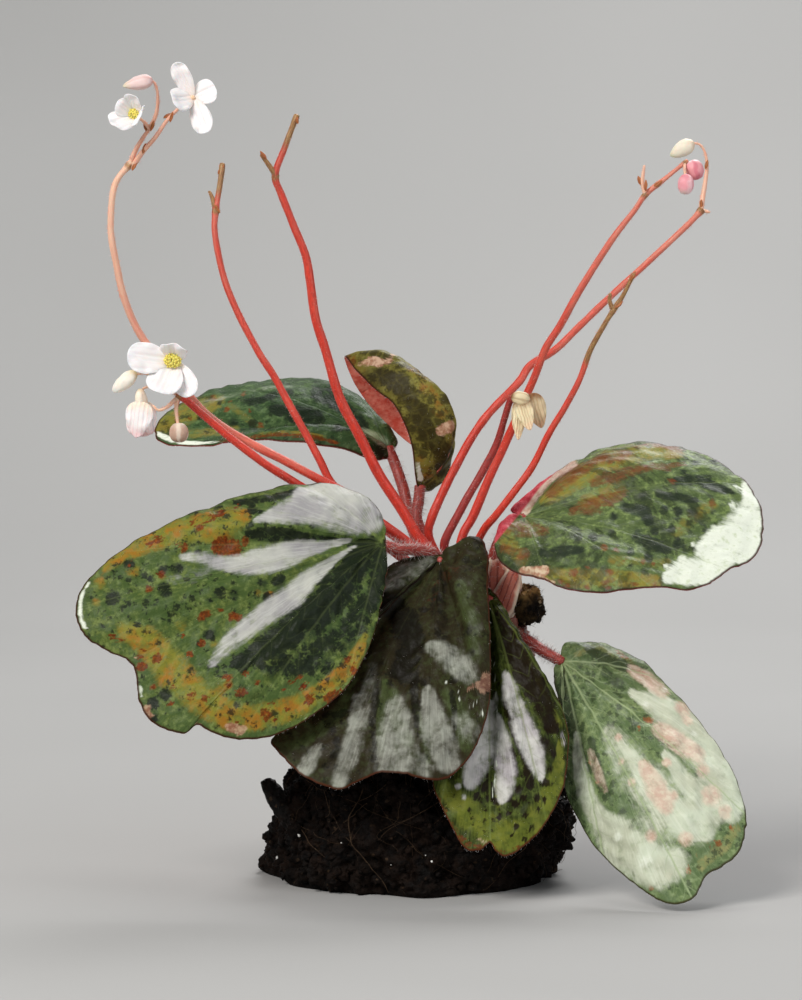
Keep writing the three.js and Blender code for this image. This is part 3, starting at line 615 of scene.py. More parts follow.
class Effects:
    """The shader groups that several finishes share, each built once."""

    def __init__(self) -> None:
        """Builds the groups."""
        self.blotches = self._blotches()
        self.streaks = self._streaks()
        self.grain = self._grain()

    @staticmethod
    def _blotches() -> bpy.types.NodeTree:
        """Round blots that grow and merge where a mask is high, and the net of lines between their cells.

        Returns:
            The group.
        """
        tree, g, given, out = shader_group(
            "blotches", {"Vector": (0.0, 0.0, 0.0), "Mask": 0.5, "Cell": 1000.0, "Patch": 330.0},
            "Islands", "Net",
        )
        wobble = g.vector("SUBTRACT", g.noise(given["Vector"], 700.0, output=1), (0.5, 0.5, 0.5))
        place = g.vector("ADD", given["Vector"], g.vector("SCALE", wobble, 0.0011))
        cells = g.cells(place, given["Cell"])
        edge = g.cells(place, given["Cell"], "DISTANCE_TO_EDGE")[0]
        patch = g.noise(given["Vector"], given["Patch"], 3.0)
        fine = g.noise(given["Vector"], 1700.0)
        number = g.split(cells[1])[0]
        heat = g.plus(given["Mask"], g.swing(patch, 1.8), g.swing(number, 0.4), g.swing(fine, 1.1))
        g.feed(out["Islands"], g.step(g.math("MULTIPLY_ADD", cells[0], -0.75, heat), -0.04, 0.34))
        g.feed(out["Net"], g.step(edge, 0.16, 0.02))
        return tree

    @staticmethod
    def _streaks() -> bpy.types.NodeTree:
        """Noise drawn out along a stem, from its length and its turn, so that it closes round the stem.

        Returns:
            The group.
        """
        tree, g, given, out = shader_group("stem streaks", {"Fineness": 1.0}, "Streak", "Patch")
        turn = g.times(g.read("turn"), 2 * math.pi)
        place = g.join(g.times(g.read("along"), 0.12), g.math("SINE", turn), g.math("COSINE", turn))
        g.feed(out["Streak"], g.noise(g.vector("SCALE", place, given["Fineness"]), 3.0, 4.0, 0.6))
        g.feed(out["Patch"], g.noise(place, 0.9, 3.0))
        return tree

    @staticmethod
    def _grain() -> bpy.types.NodeTree:
        """A fine pebbled height: rounded cells under fractal noise.

        Returns:
            The group.
        """
        tree, g, given, out = shader_group(
            "pebble grain", {"Vector": (0.0, 0.0, 0.0), "Size": 1500.0}, "Height"
        )
        bead = g.cells(given["Vector"], given["Size"], "SMOOTH_F1")[0]
        fine = g.noise(given["Vector"], given["Size"], 3.0)
        g.feed(out["Height"], g.math("SUBTRACT", fine, g.times(bead, 0.8)))
        return tree


# Finishes

@dataclass(frozen=True)
class LeafFinish:
    """The colours of a leaf, as hexadecimal codes, and how strongly its veins, mesh and rays show."""

    name: str
    green: str = "586331"
    moss: str = "3a4c2c"
    deep: str = "141a13"
    dusk: str = "27321f"
    gold: str = "6f6c2e"
    ember: str = "8a5f24"
    rust: str = "4f1f08"
    sore: str = "86400f"
    # The next three colours are partly the leaf's silver marking and partly painted sheen, the last one its
    # brightest streaks.
    silver_and_sheen: str = "b4b3ad"
    lilac: str = "8f8a92"
    silver_and_sheen_streak: str = "cfd0c9"
    net: str = "8b9a5c"
    rim: str = "35190f"
    under: str = "a5453f"
    flush: str = "c4645a"
    scorch: str = "8a5846"
    parch: str = "b5967a"
    pink: str = "c4988a"
    cream: str = "d2bfa6"
    # Partly the white of pale marks and partly painted glare.
    white_and_glare: str = "e3e8d8"
    veined: float = 0.1
    meshed: float = 0.05
    rayed: float = 0.12
    streaky: float = 0.0
    speckled: float = 0.0
    soft: float = 0.1
    feather: float = 0.9
    mist: float = 0.85
    cloudy: float = 1.1
    cell: float = 1000.0
    patch: float = 330.0
    gloss: float = 0.42
    shine: float = 0.18

    def make(self, effects: Effects) -> bpy.types.Material:
        """Lays the colours from the bottom up: green, gold, dark, rust, silver and painted sheen, white and
        painted glare, veins, tan, rim.

        Args:
            effects: The shared shader groups.

        Returns:
            The material.
        """
        made, g, shader = material(f"leaf {self.name}")
        place = g.here()
        silver_and_sheen, dark, gold, rust = g.marks("marks")
        # The second of these, pale, holds both pale marks and painted glare and glints.
        dry, pale, blush, red = g.marks("wear_and_glare")
        gap, out, ray, cast = (g.read(name) for name in ("gap", "out", "ray", "cast"))
        broad = g.noise(place, 110.0, 3.0)
        cloud = g.noise(place, 240.0, 3.0, 0.55)
        mottle = g.noise(place, 620.0, 4.0, 0.6)
        fine = g.noise(place, 1500.0, 3.0, 0.6)
        streak = g.noise(g.join(g.times(ray, 7.0), g.times(cast, 7.0), g.times(out, 0.13)), 1.0, 4.0, 0.6)
        drawn = g.join(g.times(ray, 0.004), g.times(cast, 0.004), g.times(out, 0.0004))
        grown = place
        if self.streaky:
            grown = g.add("Mix", {0: self.streaky, 4: place, 5: drawn}, data_type="VECTOR").outputs[1]

        def ragged(mask: object, low: float, high: float, rays: float = 0.7) -> bpy.types.NodeSocket:
            """A mask whose soft edge is broken up along the rays and by the mottling."""
            offset = g.plus(g.swing(streak, rays), g.swing(mottle, 0.9), g.swing(cloud, self.cloudy))
            return g.times(g.step(g.plus(mask, offset), low, high), g.step(mask, 0.0, 0.5))

        spotted = g.math("MAXIMUM", dark, self.speckled)
        spots = g.use(effects.blotches, Vector=grown, Mask=spotted, Cell=self.cell, Patch=self.patch)
        islands = g.math("SUBTRACT", spots["Islands"], g.times(spots["Net"], self.meshed), clamp=True)
        shifted = g.vector("ADD", grown, (0.31, 0.17, 0.23))
        rusts = g.use(effects.blotches, Vector=shifted, Mask=rust, Cell=1000.0, Patch=430.0)["Islands"]
        rise = g.math("MULTIPLY_ADD", gap, -0.3, g.times(out, 0.2))
        rise = g.plus(rise, g.times(g.noise(place, 90.0, 1.0), 2.2))
        side = g.step(g.math("ABSOLUTE", g.math("SUBTRACT", g.math("FRACT", rise), 0.5)), 0.08, 0.0)
        side = g.times(side, g.step(gap, 6.0, 1.0))
        veins = g.math("MAXIMUM", g.step(gap, 0.4, 0.06), g.times(side, 0.5))
        ochre = g.shade(cloud, 0.38, 0.66, self.gold, self.ember)
        sheen = g.shade(broad, 0.35, 0.65, self.silver_and_sheen, self.lilac)
        base = g.layers(
            g.shade(broad, 0.35, 0.65, self.green, self.moss),
            (g.step(mottle, 0.4, 0.6, (0.0, 0.85)), self.moss),
            (g.step(mottle, 0.5, 0.25, (0.0, 0.45)), self.net),
            (g.step(streak, 0.45, 0.68, (0.0, self.rayed)), self.net),
            (g.times(ragged(gold, 0.1, 1.0), 0.9), g.shade(mottle, 0.54, 0.32, ochre, self.green, 0.6)),
            (g.times(ragged(dark, 0.1, 0.9), 0.72), self.dusk),
            (g.times(islands, 0.95 - self.soft), self.deep),
            (g.times(ragged(rust, 0.25, 1.15, 1.1), 0.4 + self.soft), self.sore),
            (g.times(rusts, g.step(rust, 0.02, 0.2, (0.0, 1 - 1.5 * self.soft))),
             g.shade(fine, 0.4, 0.75, self.rust, self.sore)),
            # Silver marking mixed with painted sheen; its brighter streaks are painted highlights.
            (g.times(ragged(silver_and_sheen, 0.05, self.mist, self.feather), 0.94),
             g.shade(streak, 0.45, 0.7, sheen, self.silver_and_sheen_streak, 0.4)),
            (g.times(ragged(blush, 0.1, 1.0), 0.8), g.shade(mottle, 0.35, 0.65, self.pink, self.cream)),
            # Pale marks, and painted glare and glints, on the same layer.
            (ragged(pale, 0.1, 0.9, 1.0), g.shade(mottle, 0.5, 0.75, self.white_and_glare, self.net, 0.4)),
            (g.times(veins, self.veined), self.net),
            (g.times(ragged(dry, 0.35, 0.8), 0.85), g.shade(mottle, 0.4, 0.62, self.scorch, self.parch)),
            (g.step(g.read("edge"), 0.6, 0.1, (0.0, 0.9)), self.rim),
            (g.math("MAXIMUM", g.step(red, 0.25, 0.6), g.read("under")),
             g.shade(mottle, 0.35, 0.65, self.under, self.flush)),
        )
        height = g.use(effects.grain, Vector=place, Size=1700.0)["Height"]
        height = g.plus(height, g.times(dry, g.noise(place, 1500.0, 4.0)))
        height = g.plus(g.math("SUBTRACT", height, g.times(veins, 0.8)), g.times(streak, 0.8))
        rough = (fine, self.gloss - 0.08, self.gloss + 0.14)
        g.coat(shader, base, rough, (height, 0.45, 0.00015), Specular_IOR_Level=self.shine)
        return made


@dataclass(frozen=True)
class StemFinish:
    """A juicy stem: its fresh colour, its darker streaks, and the tan of its spent parts."""

    name: str
    fresh: str
    deep: str
    pale: str
    spent: str = "b08a54"
    bark: str = "7a4a2a"
    gloss: float = 0.36

    def make(self, effects: Effects) -> bpy.types.Material:
        """Fresh colour with drawn-out streaks, turning to the spent colour where the mesh says so.

        Args:
            effects: The shared shader groups.

        Returns:
            The material.
        """
        made, g, shader = material(f"stem {self.name}")
        streak, patch = g.use(effects.streaks, Fineness=1.6)
        faded = g.plus(g.read("fade"), g.swing(patch, 0.5))
        turned = g.plus(g.read("spent"), g.swing(patch, 0.6))
        base = g.shade(faded, 0.0, 1.0, g.shade(streak, 0.35, 0.7, self.fresh, self.deep), self.pale)
        base = g.shade(turned, 0.3, 0.75, base, g.shade(streak, 0.35, 0.65, self.spent, self.bark))
        g.coat(
            shader, base, (streak, self.gloss, self.gloss + 0.2), (streak, 0.4, 0.0003),
            Subsurface_Weight=0.25, Subsurface_Radius=(1.0, 0.3, 0.2), Subsurface_Scale=0.001,
        )
        return made


@dataclass(frozen=True)
class PetalFinish:
    """A petal, bud or sepal: its colour at the base, in the middle and at the tip, and its vein colour."""

    name: str
    base: str
    middle: str
    tip: str
    vein: str
    veins: float = 9.0
    strength: float = 0.25
    gloss: float = 0.45
    rim: str = ""

    def make(self, effects: Effects) -> bpy.types.Material:
        """Colour along the length, with fine lengthwise veins and a faint crinkle.

        Args:
            effects: The shared shader groups.

        Returns:
            The material.
        """
        made, g, shader = material(f"petal {self.name}")
        place = g.here()
        wide = g.noise(place, 500.0, 3.0)
        share = g.plus(g.read("along"), g.swing(wide, 0.4))
        tone = g.shade(share, 0.6, 1.0, g.shade(share, 0.05, 0.4, self.base, self.middle), self.tip)
        turn = g.math("MULTIPLY_ADD", g.read("turn"), self.veins * 2 * math.pi, g.times(wide, 3.0))
        wave = g.math("SINE", turn)
        tone = g.shade(wave, 0.2, 0.95, tone, self.vein, self.strength)
        if self.rim:
            tone = g.shade(g.plus(g.read("edge"), g.swing(wide, 0.3)), 0.34, 0.08, tone, self.rim)
        height = g.plus(g.use(effects.grain, Vector=place, Size=2200.0)["Height"], wave)
        g.coat(
            shader, tone, (wide, self.gloss, self.gloss + 0.15), (height, 0.25, 0.0001),
            Subsurface_Weight=0.3, Subsurface_Radius=(0.8, 0.5, 0.4), Subsurface_Scale=0.0012,
        )
        return made


@dataclass(frozen=True)
class HairFinish:
    """Fine plant hairs of one colour, paler towards the tip."""

    name: str
    root: str
    tip: str

    def make(self) -> bpy.types.Material:
        """A soft pale finish with a slow change of tone from hair to hair.

        Returns:
            The material.
        """
        made, g, shader = material(f"hairs {self.name}")
        tone = g.shade(g.noise(g.here(), 300.0), 0.35, 0.65, self.root, self.tip)
        g.feed(shader.inputs["Base Color"], tone)
        shader.inputs["Roughness"].default_value = 0.5
        return made


@dataclass(frozen=True)
class SoilFinish:
    """Peat, bark and the like: two tones, a paler dust and the size of the grain."""

    name: str
    dark: str
    light: str
    dust: str
    dusty: float = 0.2
    size: float = 900.0
    gloss: float = 0.85
    mixed: float = 1.0

    def make(self, effects: Effects) -> bpy.types.Material:
        """Clumps of two tones with specks of dust, and a rough broken height.

        Args:
            effects: The shared shader groups.

        Returns:
            The material.
        """
        made, g, shader = material(f"soil {self.name}")
        place = g.here()
        clump = g.noise(place, 260.0, 6.0, 0.7)
        tone = g.shade(clump, 0.38, 0.68, self.dark, self.light, self.mixed)
        tone = g.mix(g.times(g.read("tone"), 0.9), tone, self.light)
        speck = g.split(g.cells(place, 1500.0)[1])[0]
        tone = g.shade(speck, 1 - self.dusty, 1.02 - self.dusty * 0.5, tone, self.dust, 0.6)
        height = g.plus(g.use(effects.grain, Vector=place, Size=self.size)["Height"], clump)
        rough = (clump, self.gloss - 0.25, self.gloss)
        g.coat(shader, tone, rough, (height, 0.9, 0.0007), Specular_IOR_Level=0.1)
        return made


# Pieces

class Mark(Enum):
    """What a leaf's markings are, as (attribute, channel); silver is marking and painted sheen, pale is
    marking and painted glare.
    """

    SILVER_AND_SHEEN = ("marks", 0)
    DARK = ("marks", 1)
    GOLD = ("marks", 2)
    RUST = ("marks", 3)
    DRY = ("wear_and_glare", 0)
    # The pale channel holds pale marks and also painted glare and glints.
    PALE_AND_GLARE = ("wear_and_glare", 1)
    BLUSH = ("wear_and_glare", 2)
    RED = ("wear_and_glare", 3)


class Stroke:
    """A brush stroke on a leaf: the places (right, up, half width) along it, in millimetres."""

    joined = True

    def __init__(self, strength: float, *points: tuple[float, float, float]) -> None:
        """Takes how strong it is, and its places."""
        self.strength = strength
        self.points = np.array(points, float)

    def cover(self, seen: np.ndarray) -> np.ndarray:
        """How much of the stroke lies at each place: all within 0.45 of its half width, none beyond 1.45.

        Args:
            seen: Places as (..., right and up).

        Returns:
            One value for each place.
        """
        knots = self.points
        if len(knots) > 1 and self.joined:
            knots = smooth_line(knots, np.linspace(0, len(knots) - 1, 6 * len(knots)))
        apart = np.linalg.norm(seen.reshape(-1, 1, 2) - knots[:, :2], axis=-1)
        share = (apart / np.maximum(knots[:, 2], 0.2)).min(1)
        return self.strength * (1 - smoothstep(share, 0.45, 1.45)).reshape(seen.shape[:-1])


class Dots(Stroke):
    """Round dots that stand apart, one at each place."""

    joined = False


def blade_shell(shells: Shells, skin: np.ndarray, thickness: float, edge_thickness: float, lower: int,
                way: np.ndarray | None = None, **values: np.ndarray) -> None:
    """Adds a thin blade: its upper face out to the rim, a rounded edge, and its lower face back in.

    Args:
        shells: Takes the blade.
        skin: The middle surface as (ring, column, 3), its rings growing from a tiny one to the rim.
        thickness: Across the middle of the blade, in millimetres.
        edge_thickness: At the rim.
        lower: The lower face keeps each so-many-th ring.
        way: The direction from the lower to the upper face, where it isn't the skin's own.
        **values: Values over (ring, column) for the points.
    """
    rings = len(skin)
    share = np.linspace(0, 1, rings)
    half = (thickness + (edge_thickness - thickness) * smoothstep(share, 0.75, 1.0)) / 2
    normals = -surface_normals(skin)
    if way is not None:
        normals = np.broadcast_to(way * np.sign((normals @ way).sum()), skin.shape)
    keep = np.unique(np.append(np.arange(0, rings, lower), rings - 1))[::-1]
    upper = skin + normals * half[:, None, None]
    under = (skin - normals * half[:, None, None])[keep]
    outward = unit(skin[-1] - skin[-2]) * edge_thickness * 0.35
    body = np.concatenate([upper, (skin[-1] + outward)[None], under])
    order = np.concatenate([np.arange(rings), [rings - 1], keep])
    carried = {name: value[order] for name, value in values.items()}
    side = np.concatenate([np.zeros(rings), [0.5], np.ones(len(keep))])
    shells.add(body, upper[0].mean(0), under[-1].mean(0), under=side[:, None], **carried)


@dataclass(frozen=True)
class Relief:
    """What stands up from a blade's smooth skin, in millimetres: depths, and how far they reach."""

    notches: tuple = ((3.4, 0.09), (1.3, 0.05))
    groove: float = 0.24
    groove_reach: float = 1.2
    pillow: float = 0.2
    pillow_reach: tuple = (0.9, 3.4)
    quilt: float = 0.16
    quilt_step: float = 4.4
    coarse: tuple = (5.0, 0.17)
    fine: tuple = (2.6, 0.05)
    flute: tuple = (7.0, 0.2)
    flute_from: float = 0.7


RELIEF = Relief()


@dataclass(frozen=True)
class Leaf:
    """A leaf on its hairy petiole.

    The blade's rim runs anticlockwise as seen from its upper face, as (right, up, back, lift): a line from
    the joint to the rim bows up by the lift times (4 r (1 - r)) to the power of the fullness, where r is the
    share of the way out. The main veins run from the joint to the rim points that they name.
    """

    name: str
    joint: tuple
    rim: tuple
    petiole: tuple
    veins: tuple
    finish: LeafFinish
    marks: dict[Mark, tuple]
    rise: tuple | None = None
    fullness: float = 1.0
    radii: tuple = (2.0, 1.8, 1.6, 1.5)
    columns: int = 8
    rings: int = 68
    relief: float = 1.0
    thickness: float = 0.8
    edge_thickness: float = 0.36
    rim_hairs: int = 420
    face_hairs: int = 260
    stem_hairs: int = 620
    stem_hair_length: float = 2.2

    def skin(self) -> tuple[np.ndarray, np.ndarray, np.ndarray, np.ndarray | None]:
        """The middle surface, with its vein grooves, quilting and fluted rim.

        Returns:
            The surface as (ring, column, 3), the gap to the nearest main vein, the distance from the joint,
            and the direction across the blade where one serves for all of it.
        """
        number = int(self.name[-1])
        rim = np.array(self.rim, float)
        count = len(rim) * self.columns
        places = np.arange(count) / self.columns
        edge = smooth_line(on_board(rim[:, :3]), places, closed=True)
        lift = smooth_line(rim[:, 3:], places, closed=True)[:, 0]
        centre = on_board(self.joint)[0]
        loop = on_board(rim[:, :3])
        newell = np.cross(loop, np.roll(loop, -1, 0)).sum(0)
        normal = direction(self.rise) if self.rise else unit(newell)
        reach = np.linalg.norm(edge - centre, axis=1)
        (wide, deep), (narrow, slight) = RELIEF.notches
        notch = ripple(edge, wide, number) * deep + ripple(edge, narrow, number + 20) * slight
        edge = edge + unit(edge - centre) * notch[:, None]
        share = np.linspace(0.004, 1, self.rings) ** 0.85
        bow = lift * (4 * share * (1 - share))[:, None] ** self.fullness
        skin = centre + (edge - centre) * share[:, None, None] + normal * bow[..., None]
        ways = unit(edge - centre)
        cosine = np.clip(ways @ ways[np.array(self.veins) * self.columns].T, -1, 1)
        angle = np.arccos(cosine).min(1)
        gap = np.sin(np.minimum(angle, math.pi / 2)) * share[:, None] * reach
        out = np.linalg.norm(skin - centre, axis=-1)
        groove = -RELIEF.groove * np.exp(-(gap / RELIEF.groove_reach) ** 2)
        groove = groove + RELIEF.pillow * smoothstep(gap, *RELIEF.pillow_reach)
        quilt = RELIEF.quilt * np.cos(2 * np.pi * (out / RELIEF.quilt_step - gap * 0.25))
        quilt = quilt * smoothstep(gap, 0.4, 2.4)
        rough, small, flute = (
            depth * ripple(skin, wavelength, number + seed)
            for seed, (wavelength, depth) in ((40, RELIEF.coarse), (60, RELIEF.fine), (80, RELIEF.flute))
        )
        rough = rough + small
        flute = flute * smoothstep(share, RELIEF.flute_from, 1.0)[:, None]
        height = self.relief * (groove + quilt + rough) * smoothstep(1 - share, 0.0, 0.08)[:, None] + flute
        height = height * smoothstep(share, 0.0, 0.06)[:, None]
        way = None if self.rise else normal
        return skin - surface_normals(skin) * height[..., None], gap, out, way

    def build(self, effects: Effects, hairs: Shells, stem: bpy.types.Material) -> None:
        """Makes the blade and the petiole, and adds their hairs.

        Args:
            effects: The shared shader groups.
            hairs: Gathers the white hairs.
            stem: The petiole's finish.
        """
        skin, gap, out, way = self.skin()
        seen = seen_from_front(skin)
        layers = {name: np.zeros(skin.shape[:2] + (4,)) for name in ("marks", "wear_and_glare")}
        for mark, strokes in self.marks.items():
            name, channel = mark.value
            layer = layers[name][..., channel]
            for stroke in strokes:
                np.maximum(layer, stroke.cover(seen), out=layer)
        rim = np.linalg.norm(skin - skin[-1], axis=-1)
        blade = Shells()
        turn = np.arange(skin.shape[1]) * 2 * np.pi / skin.shape[1]
        reach = len(self.rim) / (2 * np.pi)
        ray, cast = (np.broadcast_to(reach * wave, skin.shape[:2]) for wave in (np.cos(turn), np.sin(turn)))
        values = dict(gap=gap, out=out, ray=ray, cast=cast, edge=rim, **layers)
        blade_shell(blade, skin, self.thickness, self.edge_thickness, 1, way, **values)
        blade.build(f"{self.name}_dressed", self.finish.make(effects), "blade", f"{self.name}_blade")
        self._rim_hairs(skin, hairs)
        petiole = StemLine(self.petiole, np.multiply(self.radii, 0.92))
        petiole.hang(hairs, self.stem_hairs, self.stem_hair_length, int(self.name[-1]))
        body = Shells()
        petiole.add_to(body)
        body.build(f"{self.name}_petiole_dressed", stem, "petiole", f"{self.name}_petiole")

    def _rim_hairs(self, skin: np.ndarray, hairs: Shells) -> None:
        """Short white hairs that stand out from the rim, and a few that stand up from the face.

        Args:
            skin: The blade's middle surface.
            hairs: Takes them.
        """
        rng = np.random.default_rng(len(self.rim) + int(self.name[-1]))
        pick = rng.integers(0, skin.shape[1], self.rim_hairs)
        way = unit(skin[-1, pick] - skin[-3, pick]) + rng.normal(size=(self.rim_hairs, 3)) * 0.35
        hairs.hairs(skin[-1, pick], unit(way), rng.uniform(0.4, 1.0, self.rim_hairs), 0.018)
        ring = (rng.uniform(0.15, 1, self.face_hairs) ** 0.5 * (len(skin) - 2)).astype(int)
        pick = rng.integers(0, skin.shape[1], self.face_hairs)
        upward = -surface_normals(skin)[ring, pick]
        way = upward + rng.normal(size=(self.face_hairs, 3)) * 0.4
        root = skin[ring, pick] + upward * self.thickness * 0.45
        hairs.hairs(root, unit(way), rng.uniform(0.3, 0.7, self.face_hairs), 0.014)


class StemLine:
    """A stem along a smooth line, with radii spread evenly along it, joints that swell and a spent end."""

    step = 0.55
    swelling, swelling_reach = 0.14, 1.3
    wander, rib_height, ribs = 0.05, 0.02, 5
    hair_girth, hair_columns = 0.042, 24

    def __init__(self, path: tuple, radii: object, spent: float = 2.0, joints: object = (),
                 fade: tuple = (0.0, 0.0)) -> None:
        """Works out the line.

        Args:
            path: Board places along the stem.
            radii: Radii from foot to tip, in millimetres.
            spent: The share of the length from which the stem is spent and tan.
            joints: Board places where it swells and tans.
            fade: How pale it is at its foot and at its tip.
        """
        self.line = even_line(path, self.step)
        steps = np.linalg.norm(np.diff(self.line, axis=0), axis=1)
        self.run = np.concatenate([[0], np.cumsum(steps)])
        share = self.run / self.run[-1]
        self.radii = np.interp(share, np.linspace(0, 1, len(radii)), radii)
        self.spent = smoothstep(share, spent - 0.05, spent + 0.05)
        self.fade = fade[0] + (fade[1] - fade[0]) * share**1.6
        for joint in joints:
            apart = np.linalg.norm(self.line - on_board(joint)[0], axis=1)
            near = np.exp(-(apart / self.swelling_reach) ** 2)
            self.radii = self.radii + self.swelling * near
            self.spent = np.maximum(self.spent, 0.7 * near)
        seed = int(abs(self.line[0, 0]) * 10) + len(self.line)
        self.radii = self.radii * (1 + 0.02 * ripple(self.line, 6.0, seed))
        sway = np.stack([ripple(self.line, 14.0, seed + axis) for axis in range(3)], -1)
        self.line = self.line + self.wander * sway

    def add_to(self, shells: Shells, sides: int = 16) -> None:
        """Adds the stem's skin: fine ribs run along it.

        Args:
            shells: Takes the skin.
            sides: Points round it.
        """
        rings, first, last = tube(self.line, self.radii, sides)
        turn = np.arange(sides) / sides
        phase = 0.3 * np.sin(self.run[:, None] / 3)
        rib = 1 + self.rib_height * np.sin(self.ribs * 2 * np.pi * turn + phase)
        rings = self.line[:, None] + (rings - self.line[:, None]) * rib[..., None]
        values = {"along": self.run, "fade": self.fade, "spent": self.spent}
        values = {name: value[:, None] for name, value in values.items()}
        shells.add(rings, first, last, turn=turn, **values)

    def hang(self, hairs: Shells, count: int, length: float, seed: int) -> None:
        """Adds hairs all over the stem.

        Args:
            hairs: Takes them.
            count: How many.
            length: The longest, in millimetres.
            seed: Chooses their places.
        """
        rng = np.random.default_rng(seed)
        rings = tube(self.line, self.radii * 0.95, self.hair_columns)[0]
        ring = rng.integers(1, len(rings) - 1, count)
        root = rings[ring, rng.integers(0, self.hair_columns, count)]
        away = unit(root - self.line[ring])
        ahead = unit(np.gradient(self.line, axis=0))[ring]
        way = unit(away + ahead * rng.uniform(-0.5, 0.2, (count, 1)) + rng.normal(size=(count, 3)) * 0.2)
        hairs.hairs(root, way, rng.uniform(0.35, 1.0, count) * length, self.hair_girth)


@dataclass(frozen=True)
class Pod:
    """An egg-shaped body: its middle, its long axis, and its length, width and depth."""

    middle: tuple
    axis: tuple
    size: tuple
    face: tuple = (0, 0.3, -1)

    def add_to(self, shells: Shells, rings: int = 18, sides: int = 24, seams: int = 0, blunt: float = 1.0,
               lean: float = 1.0, crease: float = 0.0, seed: int = 1) -> None:
        """Adds the body, with seams along it and creases over it.

        Args:
            shells: Takes it.
            rings: Rings from end to end.
            sides: Points round it.
            seams: How many seams run from end to end.
            blunt: Above 1 its girth is fuller near the ends.
            lean: Above 1 its near end is pointed.
            crease: How deep it is creased, in millimetres.
            seed: Chooses the creases.
        """
        skin, first, last = egg(self.middle, self.axis, self.face, self.size, rings, sides, blunt, lean)
        spine = skin.mean(1, keepdims=True)
        turn = np.arange(sides) / sides
        if seams:
            dip = 1 - 0.13 * np.abs(np.cos(np.pi * seams * turn)) ** 14
            skin = spine + (skin - spine) * dip[:, None]
        if crease:
            skin = skin + unit(skin - spine) * (crease * ripple(skin, 1.6, seed))[..., None]
        shells.add(skin, first, last, along=np.arange(1, rings)[:, None] / rings, turn=turn)


@dataclass(frozen=True)
class Petal:
    """A petal that grows along an axis, cup high at its end, with its upper face towards a direction."""

    axis: tuple
    length: float
    width: float
    face: tuple | None = None
    base: tuple | None = None
    cup: float = 0.8
    pointed: bool = False
    sides: int = 72
    rings: int = 20

    def add_to(self, shells: Shells, base: tuple, face: tuple, frill: float, seed: int,
               thickness: float = 0.6) -> None:
        """Adds the petal.

        At a share u of its length it is as wide as half its width times the sine of the turn, times
        0.62 + 0.55 u, or 1.25 - 0.7 u for a pointed one, and it stands cup times u squared proud of its axis.

        Args:
            shells: Takes it.
            base: The flower's heart as a board place, unless the petal has its own base.
            face: The flower's upper side, unless the petal has its own.
            frill: How much its rim waves, in millimetres.
            seed: Chooses the waves.
            thickness: At its middle, in millimetres.
        """
        along = direction(self.axis)
        side = unit(np.cross(along, direction(self.face or face)))
        normal = np.cross(side, along)
        start = on_board(self.base or base)[0]
        turn = np.arange(self.sides) * 2 * np.pi / self.sides
        u = (1 - np.cos(turn)) / 2
        taper = 1.25 - 0.7 * u if self.pointed else 0.62 + 0.55 * u
        half = self.width / 2 * np.sin(turn) * taper
        edge = start + self.length * u[:, None] * along + half[:, None] * side
        edge = edge + (self.cup * u**2)[:, None] * normal
        centre = start + along * self.length * 0.4 + normal * self.cup * 0.1
        share = np.linspace(0.02, 1, self.rings)
        skin = centre + (edge - centre) * share[:, None, None]
        skin = skin - normal * (0.1 * self.cup * 4 * share * (1 - share))[:, None, None]
        far = (skin - start) @ along / self.length
        across = (skin - start) @ side / (self.width / 2)
        wave = frill * ripple(skin, 3.6, seed) * share[:, None] ** 2 * smoothstep(far, 0.1, 0.6)
        belly = np.sin(np.pi * np.clip(far, 0, 1))
        fold = -0.12 * self.width * (np.exp(-(across / 0.25) ** 2) - 0.4) * belly
        pleat = 0.06 * np.cos(across * 5 * np.pi) * belly
        skin = skin + normal * (wave + 0.35 * fold + pleat)[..., None]
        blade_shell(shells, skin, thickness, 0.25, 2, along=far, turn=across / 2, edge=1 - share[:, None])


